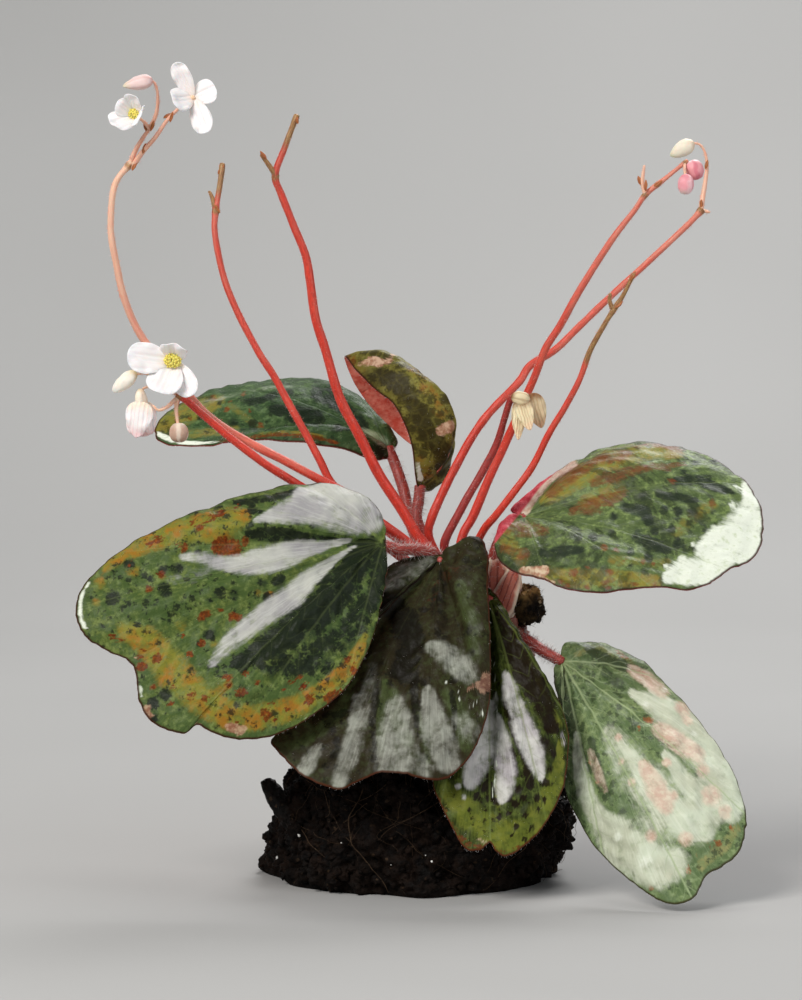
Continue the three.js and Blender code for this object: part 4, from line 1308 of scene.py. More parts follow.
@dataclass(frozen=True)
class Flower:
    """A flower: petals round a heart, some with a cluster of stamens on it."""

    name: str
    heart: Pod
    face: tuple
    petals: tuple
    root_shift: tuple = (0, 0, 0)
    stamens: float = 0.0
    heads: int = 46

    def build(self, finish: bpy.types.Material, heart: bpy.types.Material, yellow: bpy.types.Material,
              slot: str = "petal", frill: float = 0.22) -> None:
        """Makes the petals, the heart and the stamens.

        Args:
            finish: The petals' finish.
            heart: The heart's finish.
            yellow: The stamens' finish.
            slot: The petals' material slot.
            frill: How much the rims wave, in millimetres.
        """
        shells = Shells()
        base = tuple(np.add(self.heart.middle, self.root_shift))
        for number, petal in enumerate(self.petals):
            petal.add_to(shells, base, self.face, frill, 7 * len(self.name) + number * 3)
        shells.build(f"{self.name}_petals", finish, slot, self.name)
        core = Shells()
        self.heart.add_to(core, seams=3, crease=0.05)
        core.build(f"{self.name}_heart", heart, slot)
        if self.stamens:
            self._stamens(yellow)

    def _stamens(self, yellow: bpy.types.Material) -> None:
        """A domed cluster of small yellow heads on short threads, spread by the golden angle.

        Args:
            yellow: Their finish.
        """
        cluster = Shells()
        face = direction(self.face)
        side = unit(np.cross(face, BOARD_UP))
        rise = np.cross(side, face)
        heads = self.heads
        number = np.arange(heads) + 0.5
        lean = np.arccos(1 - number / heads * 0.82)[:, None]
        turn = (number * math.pi * (3 - math.sqrt(5)))[:, None]
        ways = np.cos(lean) * face + np.sin(lean) * (np.cos(turn) * side + np.sin(turn) * rise)
        seat = on_board(self.heart.middle)[0] + face * self.heart.size[2] * 0.2
        bodies, corners = lump(0.14, heads, 5)
        size = self.stamens * 0.13
        heads_at = seat + ways * self.stamens * 0.66
        cluster.scatter(heads_at[:, None] + bodies * size * [1, 1, 1.2], corners, tone=number / heads)
        Pod(self.heart.middle, self.face, (self.stamens * 1.15,) * 3).add_to(cluster)
        cluster.hairs(np.repeat(seat[None], heads, 0), ways, np.full(heads, self.stamens * 0.7), 0.1)
        node = self.name.replace("flower", "stamens")
        cluster.build(f"{node}_dressed", yellow, "stamen", node)


@dataclass(frozen=True)
class Bud:
    """A closed bud, made of two cupped tepals that meet in seams."""

    name: str
    pod: Pod
    seams: int = 2
    blunt: float = 1.25
    lean: float = 1.0

    def build(self, finish: bpy.types.Material) -> None:
        """Makes the bud.

        Args:
            finish: The petals' finish.
        """
        shells = Shells()
        self.pod.add_to(shells, 26, 40, self.seams, self.blunt, self.lean, 0.04)
        shells.build(f"{self.name}_dressed", finish, "bud", self.name)


@dataclass(frozen=True)
class Branch:
    """A side branch of a flower stalk: its path and its radii."""

    path: tuple
    radii: tuple


@dataclass(frozen=True)
class Stalk:
    """An arching flower stalk with its branches and the small bracts at its joints."""

    name: str
    path: tuple
    radii: tuple
    branches: tuple = ()
    bracts: tuple = ()
    spent: float = 2.0
    fade: float = 0.35
    tips: float = 1.1
    bract_size: tuple = (2.8, 0.9, 0.45)
    hairs_per_mm: float = 9.0
    hair_length: float = 0.75

    def build(self, finish: bpy.types.Material, bract: bpy.types.Material, hairs: Shells) -> None:
        """Makes the stalk and its bracts, and adds its short hairs.

        Args:
            finish: The stalk's finish.
            bract: The bracts' finish.
            hairs: Gathers the hairs.
        """
        body = Shells()
        joints = [branch.path[0] for branch in self.branches] + [place[:3] for place in self.bracts]
        lines = [StemLine(self.path, np.multiply(self.radii, 0.88), self.spent, joints, (0.0, self.fade))]
        spent = -1.0 if self.spent < 1 else 2.0
        for branch in self.branches:
            slim = np.multiply(branch.radii, np.linspace(0.88, 0.65, len(branch.radii)))
            lines.append(StemLine(branch.path, slim, spent, (), (self.tips, self.tips)))
        for number, line in enumerate(lines):
            line.add_to(body, 14)
            count = int(line.run[-1] * self.hairs_per_mm)
            line.hang(hairs, count, self.hair_length, number + len(self.path) * 5)
        body.build(f"{self.name}_dressed", finish, "stalk", self.name)
        if self.bracts:
            scales = Shells()
            for number, place in enumerate(self.bracts):
                pod = Pod(place[:3], place[3:], self.bract_size)
                pod.add_to(scales, rings=14, sides=18, blunt=0.6, crease=0.06, seed=number)
            scales.build(f"{self.name}_bracts", bract, "stalk")


@dataclass(frozen=True)
class Crown:
    """The creeping rhizome with its papery stipules, and the clod of fibre beside it."""

    path: tuple = (
        (20, 34, 2), (21, 44, 0), (20.5, 54, -1.5), (18.5, 62, -1), (14.5, 67.5, 0.5), (10, 70, 5),
        (7.5, 70.3, 11), (6.5, 70, 15),
    )
    radii: tuple = (4.6, 5, 5.8, 6.6, 6.8, 6.4, 5.8, 5)
    stipules: tuple = (
        Petal((0.06, 1, -0.06), 18.5, 8.6, (-0.3, 0, 1), (17.3, 63, -5.6), cup=0.6, pointed=True),
        Petal((0.36, 1, -0.1), 17, 6.6, (0.2, 0, 1), (17.6, 63, -7.4), cup=0.6, pointed=True),
        Petal((0.34, 1, -0.08), 13, 5, (0.6, 0, 1), (19.4, 63, -6), cup=0.6, pointed=True),
    )
    clod: Pod = Pod((25.2, 67.4, -4.5), (0.2, 1, 0), (10.6, 9.6, 9))
    stipule_hairs: int = 170
    crumbs: int = 260
    fibres: int = 420

    def build(self, finish: bpy.types.Material, papery: bpy.types.Material, fibre: bpy.types.Material,
              hairs: Shells) -> None:
        """Makes the rhizome, its stipules and the clod.

        Args:
            finish: The rhizome's finish.
            papery: The stipules' finish.
            fibre: The clod's finish.
            hairs: Gathers the stipules' hairs.
        """
        body = Shells()
        line = StemLine(self.path, self.radii)
        rings, first, last = tube(line.line, line.radii, 44)
        away = unit(rings - line.line[:, None])
        knob = 0.45 * ripple(rings, 5.0, 3) + 0.2 * ripple(rings, 1.8, 4)
        turn = np.arange(44) / 44
        body.add(rings + away * knob[..., None], first, last, along=line.run[:, None], turn=turn, spent=0.25)
        body.build("rhizome_dressed", finish, "rhizome", "rhizome")
        line.hang(hairs, 900, 1.4, 77)
        scales = Shells()
        for number, petal in enumerate(self.stipules):
            petal.add_to(scales, (0, 0, 0), (0, 0, 1), 0.25, number + 50, 0.8)
        scales.build("stipules", papery, "rhizome")
        rng = np.random.default_rng(9)
        count = self.stipule_hairs
        for petal in self.stipules:
            u = rng.uniform(0.1, 0.98, count)
            side = unit(np.cross(direction(petal.axis), direction(petal.face)))
            half = rng.uniform(-1, 1, count) * petal.width / 2
            across = half * np.sin(np.arccos(1 - 2 * u)) * (1.25 - 0.7 * u)
            root = on_board(petal.base)[0] + np.outer(u * petal.length, direction(petal.axis))
            root = root + np.outer(across, side)
            way = unit(-SIGHT + 0.5 * BOARD_UP + rng.normal(size=(count, 3)) * 0.6)
            hairs.hairs(root, way, rng.uniform(0.7, 1.9, count), 0.04)
        self._clod(fibre)

    def _clod(self, fibre: bpy.types.Material) -> None:
        """A crumbly lump, rough at two scales, with fibres and crumbs on it.

        Args:
            fibre: Its finish.
        """
        shells = Shells()
        skin, first, last = egg(self.clod.middle, self.clod.axis, self.clod.face, self.clod.size, 44, 60)
        middle = on_board(self.clod.middle)[0]
        rough = 0.3 * ripple(skin, 3.6, 11) + 0.16 * ripple(skin, 1.2, 12)
        skin = skin + unit(skin - middle) * (rough - 0.3)[..., None]
        top = smoothstep((skin - middle) @ BOARD_UP + 0.5 * ripple(skin, 3.0, 13), 0.8, 3.4)
        shells.add(skin, first, last, tone=top)
        rng = np.random.default_rng(21)
        flat = skin.reshape(-1, 3)
        pick = rng.integers(0, len(flat), self.crumbs)
        bodies, corners = lump(0.35, self.crumbs, 22)
        bodies = flat[pick][:, None] + bodies * rng.uniform(0.12, 0.42, self.crumbs)[:, None, None]
        tone = top.reshape(-1)[pick] * rng.uniform(0.4, 1.2, self.crumbs)
        shells.scatter(bodies, corners, tone=tone)
        pick = rng.integers(0, len(flat), self.fibres)
        away = unit(flat[pick] - middle)
        way = unit(np.cross(away, rng.normal(size=(self.fibres, 3))) + away * 0.25)
        shells.hairs(flat[pick], way, rng.uniform(0.8, 2.6, self.fibres), 0.06)
        shells.build("crown_clod_dressed", fibre, "soil", "crown_clod")


@dataclass(frozen=True)
class RootBall:
    """The soil and roots: a lumpy drum that closes as a dome, with crumbs, threads of root and white grit."""

    radius: float = 35.0
    height: float = 46.0
    foot: float = 31.0
    shoulder: float = 0.3
    skirt: float = 7.5
    skirt_height: float = 17.0
    sides: int = 260
    rings: int = 110
    crumbs: int = 3000
    grit: int = 70
    roots: int = 90
    root_steps: int = 26
    chip: Pod = Pod((-36, 17.3, -16.5), (0.52, -0.85, -0.12), (15.5, 4.8, 3.8))

    def surface(self, share: np.ndarray, angle: np.ndarray) -> np.ndarray:
        """Points on the smooth lumpy drum.

        Args:
            share: The share of the height.
            angle: The angle about the upright axis.

        Returns:
            Points over the broadcast shape of the two, in millimetres.
        """
        share, angle = np.broadcast_arrays(share, angle)
        up = self.height * share
        lumps = 1.5 * np.sin(3 * angle + up / 7) + 1.1 * np.sin(7 * angle - up / 5)
        lumps = lumps + 0.8 * np.sin(11 * angle + up / 3)
        over = np.maximum(0, (share - self.shoulder) / (1 - self.shoulder))
        dome = np.sqrt(np.maximum(0, 1 - over**2.2))
        base = self.foot + (self.radius - self.foot) * np.minimum(1, np.sqrt(share / self.shoulder))
        left = np.maximum(0, -np.cos(angle)) ** 2
        spread = self.skirt * left * np.sqrt(np.maximum(0, 1 - up / self.skirt_height))
        reach = (base + lumps) * dome + spread
        return np.stack([reach * np.cos(angle), reach * np.sin(angle), up], -1)

    def build(self, soil: bpy.types.Material, root: bpy.types.Material, grit: bpy.types.Material,
              bark: bpy.types.Material) -> None:
        """Makes the ball, its crumbs, roots and grit, and the wood chip.

        Args:
            soil: The peat's finish.
            root: The roots' finish.
            grit: The finish of the white grit.
            bark: The wood chip's finish.
        """
        share = np.linspace(0, 1, self.rings + 2)[:-1] ** 0.9
        angle = np.arange(self.sides) * 2 * np.pi / self.sides
        skin = self.surface(share[:, None], angle)
        rough = 0.75 * ripple(skin, 7.5, 1) + 0.5 * ripple(skin, 3.1, 2) + 0.32 * ripple(skin, 1.5, 3)
        rough = (rough - 0.7) * smoothstep(share, 0.0, 0.02)[:, None]
        normals = surface_normals(skin)
        outward = np.sign((normals * (skin - [0, 0, self.height / 3])).sum(-1, keepdims=True))
        skin = skin + normals * outward * rough[..., None]
        skin[..., 2] = np.maximum(skin[..., 2], 0)
        ball = Shells()
        patch = smoothstep(ripple(skin, 14.0, 5), -0.5, 1.5) * 0.35
        ball.add(skin, np.zeros(3), np.array([0, 0, self.height - 0.5]), tone=patch)
        rng = np.random.default_rng(31)
        self._crumbs(ball, skin, self.crumbs, (0.35, 1.5), rng)
        ball.build("root_ball_dressed", soil, "soil", "root_ball")
        white = Shells()
        self._crumbs(white, skin, self.grit, (0.2, 0.7), rng)
        white.build("perlite", grit, "soil")
        self._roots(root, rng)
        wood = Shells()
        self.chip.add_to(wood, rings=20, sides=14, blunt=1.3, crease=0.25, seed=8)
        wood.build("wood_chip_dressed", bark, "bark", "wood_chip")

    @staticmethod
    def _crumbs(shells: Shells, skin: np.ndarray, count: int, sizes: tuple[float, float],
                rng: np.random.Generator) -> None:
        """Scatters crumbs, half sunk, over the ball; small ones are far more common than large ones.

        Args:
            shells: Takes them.
            skin: The ball's surface.
            count: How many.
            sizes: The smallest and the largest radius.
            rng: Draws their places and sizes.
        """
        ring = rng.integers(3, len(skin), count)
        side = rng.integers(0, skin.shape[1], count)
        middle = skin[ring, side]
        size = sizes[0] + (sizes[1] - sizes[0]) * rng.uniform(0, 1, count) ** 3
        bodies, corners = lump(0.3, count, int(sizes[1] * 100))
        bodies = middle[:, None] + bodies * size[:, None, None]
        bodies[..., 2] = np.maximum(bodies[..., 2], 0.02)
        shells.scatter(bodies, corners, tone=rng.uniform(0, 1, count) ** 3)

    def _roots(self, finish: bpy.types.Material, rng: np.random.Generator) -> None:
        """Threads of root that wander down over the ball from near its top.

        A thread starts at a random angle and height, moves down and sideways by a smooth random walk, and
        lies on the surface, now and then dipping into it.

        Args:
            finish: The threads' finish.
            rng: Draws the walks.
        """
        threads = Shells()
        steps = self.root_steps
        for number in range(self.roots):
            start = rng.uniform(0.35, 0.97)
            drop = rng.uniform(0.12, 0.6)
            walk = np.cumsum(np.cumsum(rng.normal(size=steps))) * rng.uniform(0.0015, 0.006)
            drift = np.linspace(0, rng.normal() * 0.35, steps)
            angle = rng.uniform(0, 2 * np.pi) + walk + drift
            share = np.clip(start - np.linspace(0, drop, steps) + 0.01 * np.sin(walk * 9), 0.03, 0.985)
            line = smooth_line(self.surface(share, angle), np.linspace(0, steps - 1, steps * 2))
            sink = 0.3 + 0.35 * ripple(line, 6.0, number + 900)
            middle = line * [0, 0, 1]
            line = line + unit(line - middle) * sink[:, None] - [0, 0, 0.2]
            line[:, 2] = np.maximum(line[:, 2], 0.3)
            radius = (0.05 + 0.12 * rng.uniform() ** 2) * np.linspace(1, 0.45, len(line))
            rings, first, last = tube(line, radius, 5)
            threads.add(rings, first, last, tone=rng.uniform())
        threads.build("root_threads", finish, "soil")


@dataclass(frozen=True)
class Lamp:
    """A square soft light that faces the middle of the plant: where it stands, its side, power and colour."""

    name: str
    place: tuple
    size: float
    power: float
    colour: tuple
    target: tuple = (0.0, 0.0, 0.1)

    def build(self) -> None:
        """Sets the lamp and turns it to its target."""
        lamp = bpy.data.lights.new(self.name, "AREA")
        lamp.size = self.size
        lamp.energy = self.power
        lamp.color = self.colour
        seat = bpy.data.objects.new(self.name, lamp)
        seat.location = self.place
        toward = np.subtract(self.target, self.place)
        tilt = math.acos(-toward[2] / np.linalg.norm(toward))
        seat.rotation_euler = (tilt, 0, math.atan2(toward[1], toward[0]) - math.pi / 2)
        bpy.context.scene.collection.objects.link(seat)


@dataclass(frozen=True)
class Studio:
    """A pale floor that sweeps up behind the plant, soft lights, and the camera in front. Sizes in metres."""

    floor: str = "a6a5a3"
    floor_light: str = "abaaa8"
    front: float = -2.0
    flat_to: float = 0.6
    bend: float = 0.5
    top: float = 2.6
    half_width: float = 2.4
    sky: tuple = (0.80, 0.85, 0.9, 1)
    sky_strength: float = 0.28
    lens: float = 144.0
    eye: tuple = (EYE_RIGHT * MM, -0.9910, 0.1633)
    lamps: tuple = (
        Lamp("key", (-0.62, -0.75, 0.85), 0.55, 13.0, (1.0, 0.975, 0.94)),
        Lamp("fill", (0.9, -0.7, 0.5), 0.8, 4.5, (0.95, 0.97, 1.0)),
        Lamp("rim", (0.25, 0.75, 0.95), 0.6, 10.0, (1.0, 1.0, 1.0)),
    )

    def build(self) -> None:
        """Sets the floor, the lights, the world and the camera."""
        self._sweep()
        for lamp in self.lamps:
            lamp.build()
        world = bpy.data.worlds.new("studio")
        world.use_nodes = True
        sky = world.node_tree.nodes["Background"].inputs
        sky[0].default_value = self.sky
        sky[1].default_value = self.sky_strength
        bpy.context.scene.world = world
        bpy.context.scene.view_settings.view_transform = "Standard"
        camera = bpy.data.cameras.new("front")
        camera.lens = self.lens
        camera.sensor_width = 36
        seat = bpy.data.objects.new("front", camera)
        seat.location = self.eye
        seat.rotation_euler = (math.pi / 2 - EYE_TILT, 0, 0)
        bpy.context.scene.collection.objects.link(seat)
        bpy.context.scene.camera = seat

    def _sweep(self) -> None:
        """The floor: flat, then a quarter circle up to a wall, and clear as seen from behind."""
        turn = np.linspace(0, math.pi / 2, 24)
        wall = self.flat_to + self.bend
        back = np.concatenate([[self.front], self.flat_to + self.bend * np.sin(turn), [wall]])
        up = np.concatenate([[0.0], self.bend - self.bend * np.cos(turn), [self.top]])
        rows = np.stack([np.tile([-self.half_width, self.half_width], len(up)), np.repeat(back, 2),
                         np.repeat(up, 2)], -1)
        mesh = bpy.data.meshes.new("sweep")
        faces = np.arange(len(up) - 1)[:, None] * 2 + np.array([0, 1, 3, 2])
        mesh.from_pydata(rows.tolist(), [], faces.tolist())
        mesh.polygons.foreach_set("use_smooth", np.ones(len(faces), bool))
        made, g, shader = material("studio floor")
        tone = g.shade(g.noise(g.here(), 3.0), 0.3, 0.7, self.floor, self.floor_light)
        g.feed(shader.inputs["Base Color"], tone)
        shader.inputs["Roughness"].default_value = 0.9
        clear = g.add("BsdfTransparent").outputs[0]
        behind = g.add("NewGeometry").outputs["Backfacing"]
        sides = g.add("MixShader", {0: behind, 1: shader.outputs[0], 2: clear}).outputs[0]
        g.feed(made.node_tree.nodes["Material Output"].inputs["Surface"], sides)
        mesh.materials.append(made)
        floor = bpy.data.objects.new("studio_floor", mesh)
        bpy.context.scene.collection.objects.link(floor)


# This plant

LEAF_FINISHES = (
    LeafFinish("1", green="5c6930", moss="41542a", gold="84802e", ember="9c6a20", rust="561f06",
        sore="8c3e0e", silver_and_sheen="bcbcb4", lilac="9d9a9c", speckled=0.22, soft=0.12, feather=0.6, cell=520.0,
        patch=190.0, shine=0.1, under="7a342c", flush="9a4c40"),
    # Its near-black underside colours are painted shadow in the fold between its lobes.
    LeafFinish("2", green="33361d", moss="292314", deep="0c0b07", dusk="1c170d", net="3f482c", gold="48562f",
        ember="404a29", rust="3c1c0e", sore="4c2414", silver_and_sheen="9a9c90", lilac="84847a", silver_and_sheen_streak="b2b5a8",
        scorch="6e4a3e", parch="94755f", speckled=0.22, soft=0.3, feather=0.3, mist=1.0, cloudy=1.5,
        rayed=0.05, cell=470.0, patch=180.0, shine=0.08, rim="4a2414", under="1e120c", flush="2a1c12"),
    LeafFinish("3", green="444e1e", moss="283010", deep="1a1008", dusk="1c160c", gold="656e28",
        ember="767a2e", rust="5a2c10", sore="74481c", silver_and_sheen="d2d0ca", lilac="b6b0b2", net="6e7c3c",
        veined=0.4, rayed=0.3, speckled=0.12, feather=0.5, mist=1.0, cloudy=1.5, cell=560.0, patch=200.0,
        shine=0.08, rim="5a2a1a", under="2a1a10", flush="3c2818"),
    LeafFinish("4", green="7a8c58", moss="586c44", deep="323e28", dusk="4a5a3a", net="a3b486", gold="8c8e58",
        ember="9a9662", rust="7a3a14", sore="a3602e", silver_and_sheen="d2dac2", lilac="c0c4ac", silver_and_sheen_streak="e4e8d6",
        pink="cfa896", cream="decdb6", veined=0.6, rayed=0.16, speckled=0.25, soft=0.25, feather=0.4,
        cell=620.0, rim="3a3416", under="26301e", flush="343e28"),
    LeafFinish("5", green="687a45", moss="485831", deep="0b110e", dusk="283428", gold="8e8836",
        ember="867430", rust="5c2c12", sore="80492a", net="98ab64", silver_and_sheen="a9ad98", lilac="8b8d80",
        silver_and_sheen_streak="b0b59c", pink="d2a698", cream="e8d2c0", under="a42c38", flush="c2525a", scorch="b07c64",
        parch="dcc3a4", streaky=0.55, speckled=0.38, soft=0.38, feather=0.5, cell=760.0, patch=250.0),
    LeafFinish("6", green="465c34", moss="304527", deep="101810", dusk="1e2a1a", net="70885a", gold="7e7c34",
        ember="80702c", speckled=0.25, soft=0.3, silver_and_sheen="93a07c", lilac="7e8c70", shine=0.08, cell=430.0,
        patch=170.0),
    # Its underside is red-pink, and made lighter to stand in for light falling on the inner strip.
    LeafFinish("7", green="7e7a38", moss="686229", deep="28220f", dusk="3c3618", gold="7c7834", net="8c864a",
        under="dc5c4c", flush="f08e7c", scorch="a87860", parch="dcb89c", speckled=0.53, soft=0.2, meshed=0.4,
        cell=360.0, patch=150.0, shine=0.1),
)

LEAF_1_MARKS = {
    Mark.DARK: (
        Stroke(1, (-44.2, 85, 1), (-39.6, 85, 2), (-33.8, 84.6, 1.7), (-27.1, 84.2, 0.9),
            (-22.1, 83.9, 0.4)),
        Stroke(0.95, (-47.1, 92.9, 0.8), (-42.1, 93.6, 1), (-35.4, 95, 0.9), (-30.4, 96.2, 0.6)),
        Stroke(0.8, (-43.3, 91.2, 1.2), (-40.8, 90.6, 0.7)),
        Stroke(1, (-15, 82.1, 2), (-17.1, 77.1, 3.8), (-22.1, 71.2, 5), (-27.5, 65.4, 5.2),
            (-34.2, 60.4, 4.3), (-41.2, 55.8, 3), (-47.1, 52.9, 1.7)),
        Stroke(0.72, (-14.2, 67.9, 2.8), (-17.9, 62.1, 3.8), (-23.8, 57.1, 4.2), (-30.4, 53.3, 3.3),
            (-38.8, 51.2, 2.2)),
        Dots(0.85, (-40.8, 72.9, 1.3), (-36.7, 73.3, 1.8), (-39.6, 69.2, 1.3), (-51.2, 70.4, 1.7),
            (-47.9, 69.8, 1.7), (-53.8, 68.6, 0.9), (-65.4, 76.2, 1.3), (-61.9, 76.2, 1.8), (-65, 71.1, 2),
            (-73.9, 77.6, 1.7), (-77.8, 69.6, 2), (-78.9, 68.1, 1.3), (-80.6, 62.1, 0.9), (-71.7, 62.5, 1),
            (-53.8, 59.8, 1.8), (-56.2, 57.8, 1.1), (-45.4, 51.1, 1.2), (-41.2, 52.1, 1.4),
            (-34.6, 52.1, 1.3), (-28.6, 51.2, 1.5), (-24.6, 51.1, 1.5), (-64.6, 45.2, 1.8),
            (-67.9, 42.8, 1.7), (-67.5, 39.2, 1.3), (-57.1, 80.6, 0.7), (-59.6, 73.8, 0.8),
            (-68.8, 73.8, 0.9), (-51.2, 49.6, 0.7), (-30.4, 47.1, 0.9), (-35.4, 54.6, 1.5)),
        Stroke(1, (-13.3, 84.2, 0.8), (-11.4, 79.6, 2.2), (-11.9, 73.8, 2.5), (-13.3, 67.9, 1.8)),
    ),
    Mark.RUST: (
        Stroke(1, (-52.1, 81.9, 1.7), (-49.6, 82.2, 2.8), (-47.1, 80.8, 1.3)),
        Dots(0.95, (-45, 83.4, 1.2), (-60.2, 81.7, 1.1), (-61.6, 82.4, 0.7), (-56.6, 86.6, 1.2),
            (-58.1, 87.9, 0.8), (-52.9, 89.4, 1), (-51.1, 90.4, 1.1), (-66.9, 83.8, 1.1), (-68.8, 82.6, 0.8),
            (-55.2, 87.6, 0.7), (-65.8, 74.9, 1.2), (-69.1, 71.2, 1), (-54.6, 65.4, 1.1), (-55.6, 64.4, 1.2),
            (-48.1, 64.6, 1.2), (-46.7, 64.2, 1), (-51.2, 66.1, 0.7), (-55.7, 57.9, 1.1), (-58.6, 55.2, 1),
            (-66.9, 54.2, 1.4), (-70.9, 51.9, 1.4), (-71.6, 54.4, 0.7), (-76.2, 58.6, 0.8),
            (-77.9, 59.6, 0.7), (-67.9, 46.9, 0.8), (-62.9, 46.9, 0.8), (-58.6, 44.6, 1.2),
            (-55.2, 44.1, 1.1), (-49.4, 49.4, 1.3), (-49.1, 47.5, 1), (-45.8, 45.6, 1.5), (-45.1, 50.2, 0.8),
            (-39.8, 39.8, 1.6), (-37.8, 38.8, 0.8), (-38.8, 42.8, 0.7), (-28.6, 43.8, 1.3),
            (-30.2, 47.1, 0.9), (-33.6, 47.9, 0.8), (-31.2, 49.4, 0.8), (-23.8, 43.9, 1.5), (-21.9, 45.6, 1),
            (-17.9, 51.4, 1.2), (-19.1, 53.9, 0.8), (-25.4, 41.1, 0.7), (-47.1, 37.8, 0.8),
            (-63.8, 42.9, 0.7), (-73.8, 77.5, 0.6), (-42.1, 47.9, 0.7), (-34.6, 41.2, 0.7),
            (-35.4, 46.2, 0.6), (-60.4, 59.6, 0.6), (-70.8, 56.2, 0.6), (-47.1, 92.1, 0.7)),
    ),
    Mark.GOLD: (
        Stroke(0.85, (-79.6, 77.1, 1.5), (-73.8, 81.2, 2.7), (-65.4, 84.6, 3.2), (-57.1, 86.2, 3.8),
            (-50.4, 87.5, 4.3), (-46.2, 89.6, 2.8)),
        Stroke(0.95, (-74.6, 61.2, 2.5), (-68.8, 57.9, 3.8), (-64.6, 52.9, 4.7), (-60.4, 47.9, 4.2),
            (-55.4, 43.8, 4.2), (-49.6, 40.4, 3.8), (-43.8, 39.2, 3.5), (-37.1, 40.4, 3.3),
            (-30.4, 42.9, 2.8), (-23.8, 47.5, 2.3), (-18.3, 52.9, 2), (-15, 59.6, 1)),
        Dots(0.6, (-41.7, 70.4, 1.2), (-38.8, 69.9, 1.2), (-72.9, 76.2, 2.2), (-81.2, 72.9, 1.8),
            (-52.9, 57.9, 1.3), (-50.4, 47.9, 2.5), (-61.2, 62.1, 1.7), (-82.1, 67.9, 1.3)),
    ),
    Mark.PALE_AND_GLARE: (
        Stroke(1, (-82.2, 75.2, 0.2), (-85.6, 70, 0.5), (-86.4, 64.6, 0.5), (-85.1, 61.9, 0.2)),
        Stroke(1, (-71.4, 47.1, 0.5), (-71.1, 44.2, 0.4)),
        # A painted white glint along the lower right rim.
        Stroke(0.9, (-11.1, 66.2, 0.2), (-12.8, 57.9, 0.2), (-16.1, 49.6, 0.2), (-21.6, 43.4, 0.3),
            (-26.9, 40.2, 0.4), (-30.4, 39.2, 0.2)),
    ),
    Mark.DRY: (
        Stroke(1, (-69.6, 41.7, 1.1), (-68.9, 40, 1)),
        Stroke(0.9, (-48.6, 37.1, 1.4), (-46.1, 36.2, 1.7)),
        Dots(0.8, (-56.9, 37.4, 0.9), (-63.6, 35.8, 0.7), (-72.2, 54.6, 0.6)),
    ),
    # Silver marking and painted sheen: the pale bands over the upper folds are partly painted highlights.
    Mark.SILVER_AND_SHEEN: (
        Stroke(0.88, (-42.1, 88.6, 0.8), (-37.1, 89.8, 2.2), (-30.4, 91.6, 4), (-24.6, 91.9, 5),
            (-18.8, 90.6, 5.3), (-13.8, 88.3, 3.3)),
        Stroke(0.88, (-31.2, 95.2, 1.7), (-24.6, 96.1, 2.2), (-17.9, 94.6, 2.2), (-12.9, 90.8, 1.7)),
        Stroke(0.88, (-52.1, 78.1, 1.3), (-48.8, 77.6, 2.2), (-44.6, 77.7, 2.8), (-38.8, 78.9, 3.5),
            (-32.1, 80.8, 2.8), (-25.4, 82.2, 1.4), (-18.8, 83.6, 0.6)),
        Stroke(0.6, (-60.8, 79.4, 1), (-55.4, 79.2, 1.7), (-51.2, 77.8, 2)),
        Stroke(0.88, (-45.4, 60.8, 2), (-41.2, 64.2, 2.7), (-37.1, 66.9, 2.8), (-32.9, 70, 3),
            (-28.3, 74.4, 2.2), (-22.9, 78.6, 1.1), (-17.9, 81.9, 0.5)),
        Stroke(0.62, (-53.3, 52.9, 1.3), (-48.8, 57.9, 2.3), (-43.8, 62.1, 2.8)),
        Stroke(0.3, (-55.4, 76.2, 2), (-59.6, 73.8, 2.2), (-63.8, 73.8, 1.2)),
    ),
}

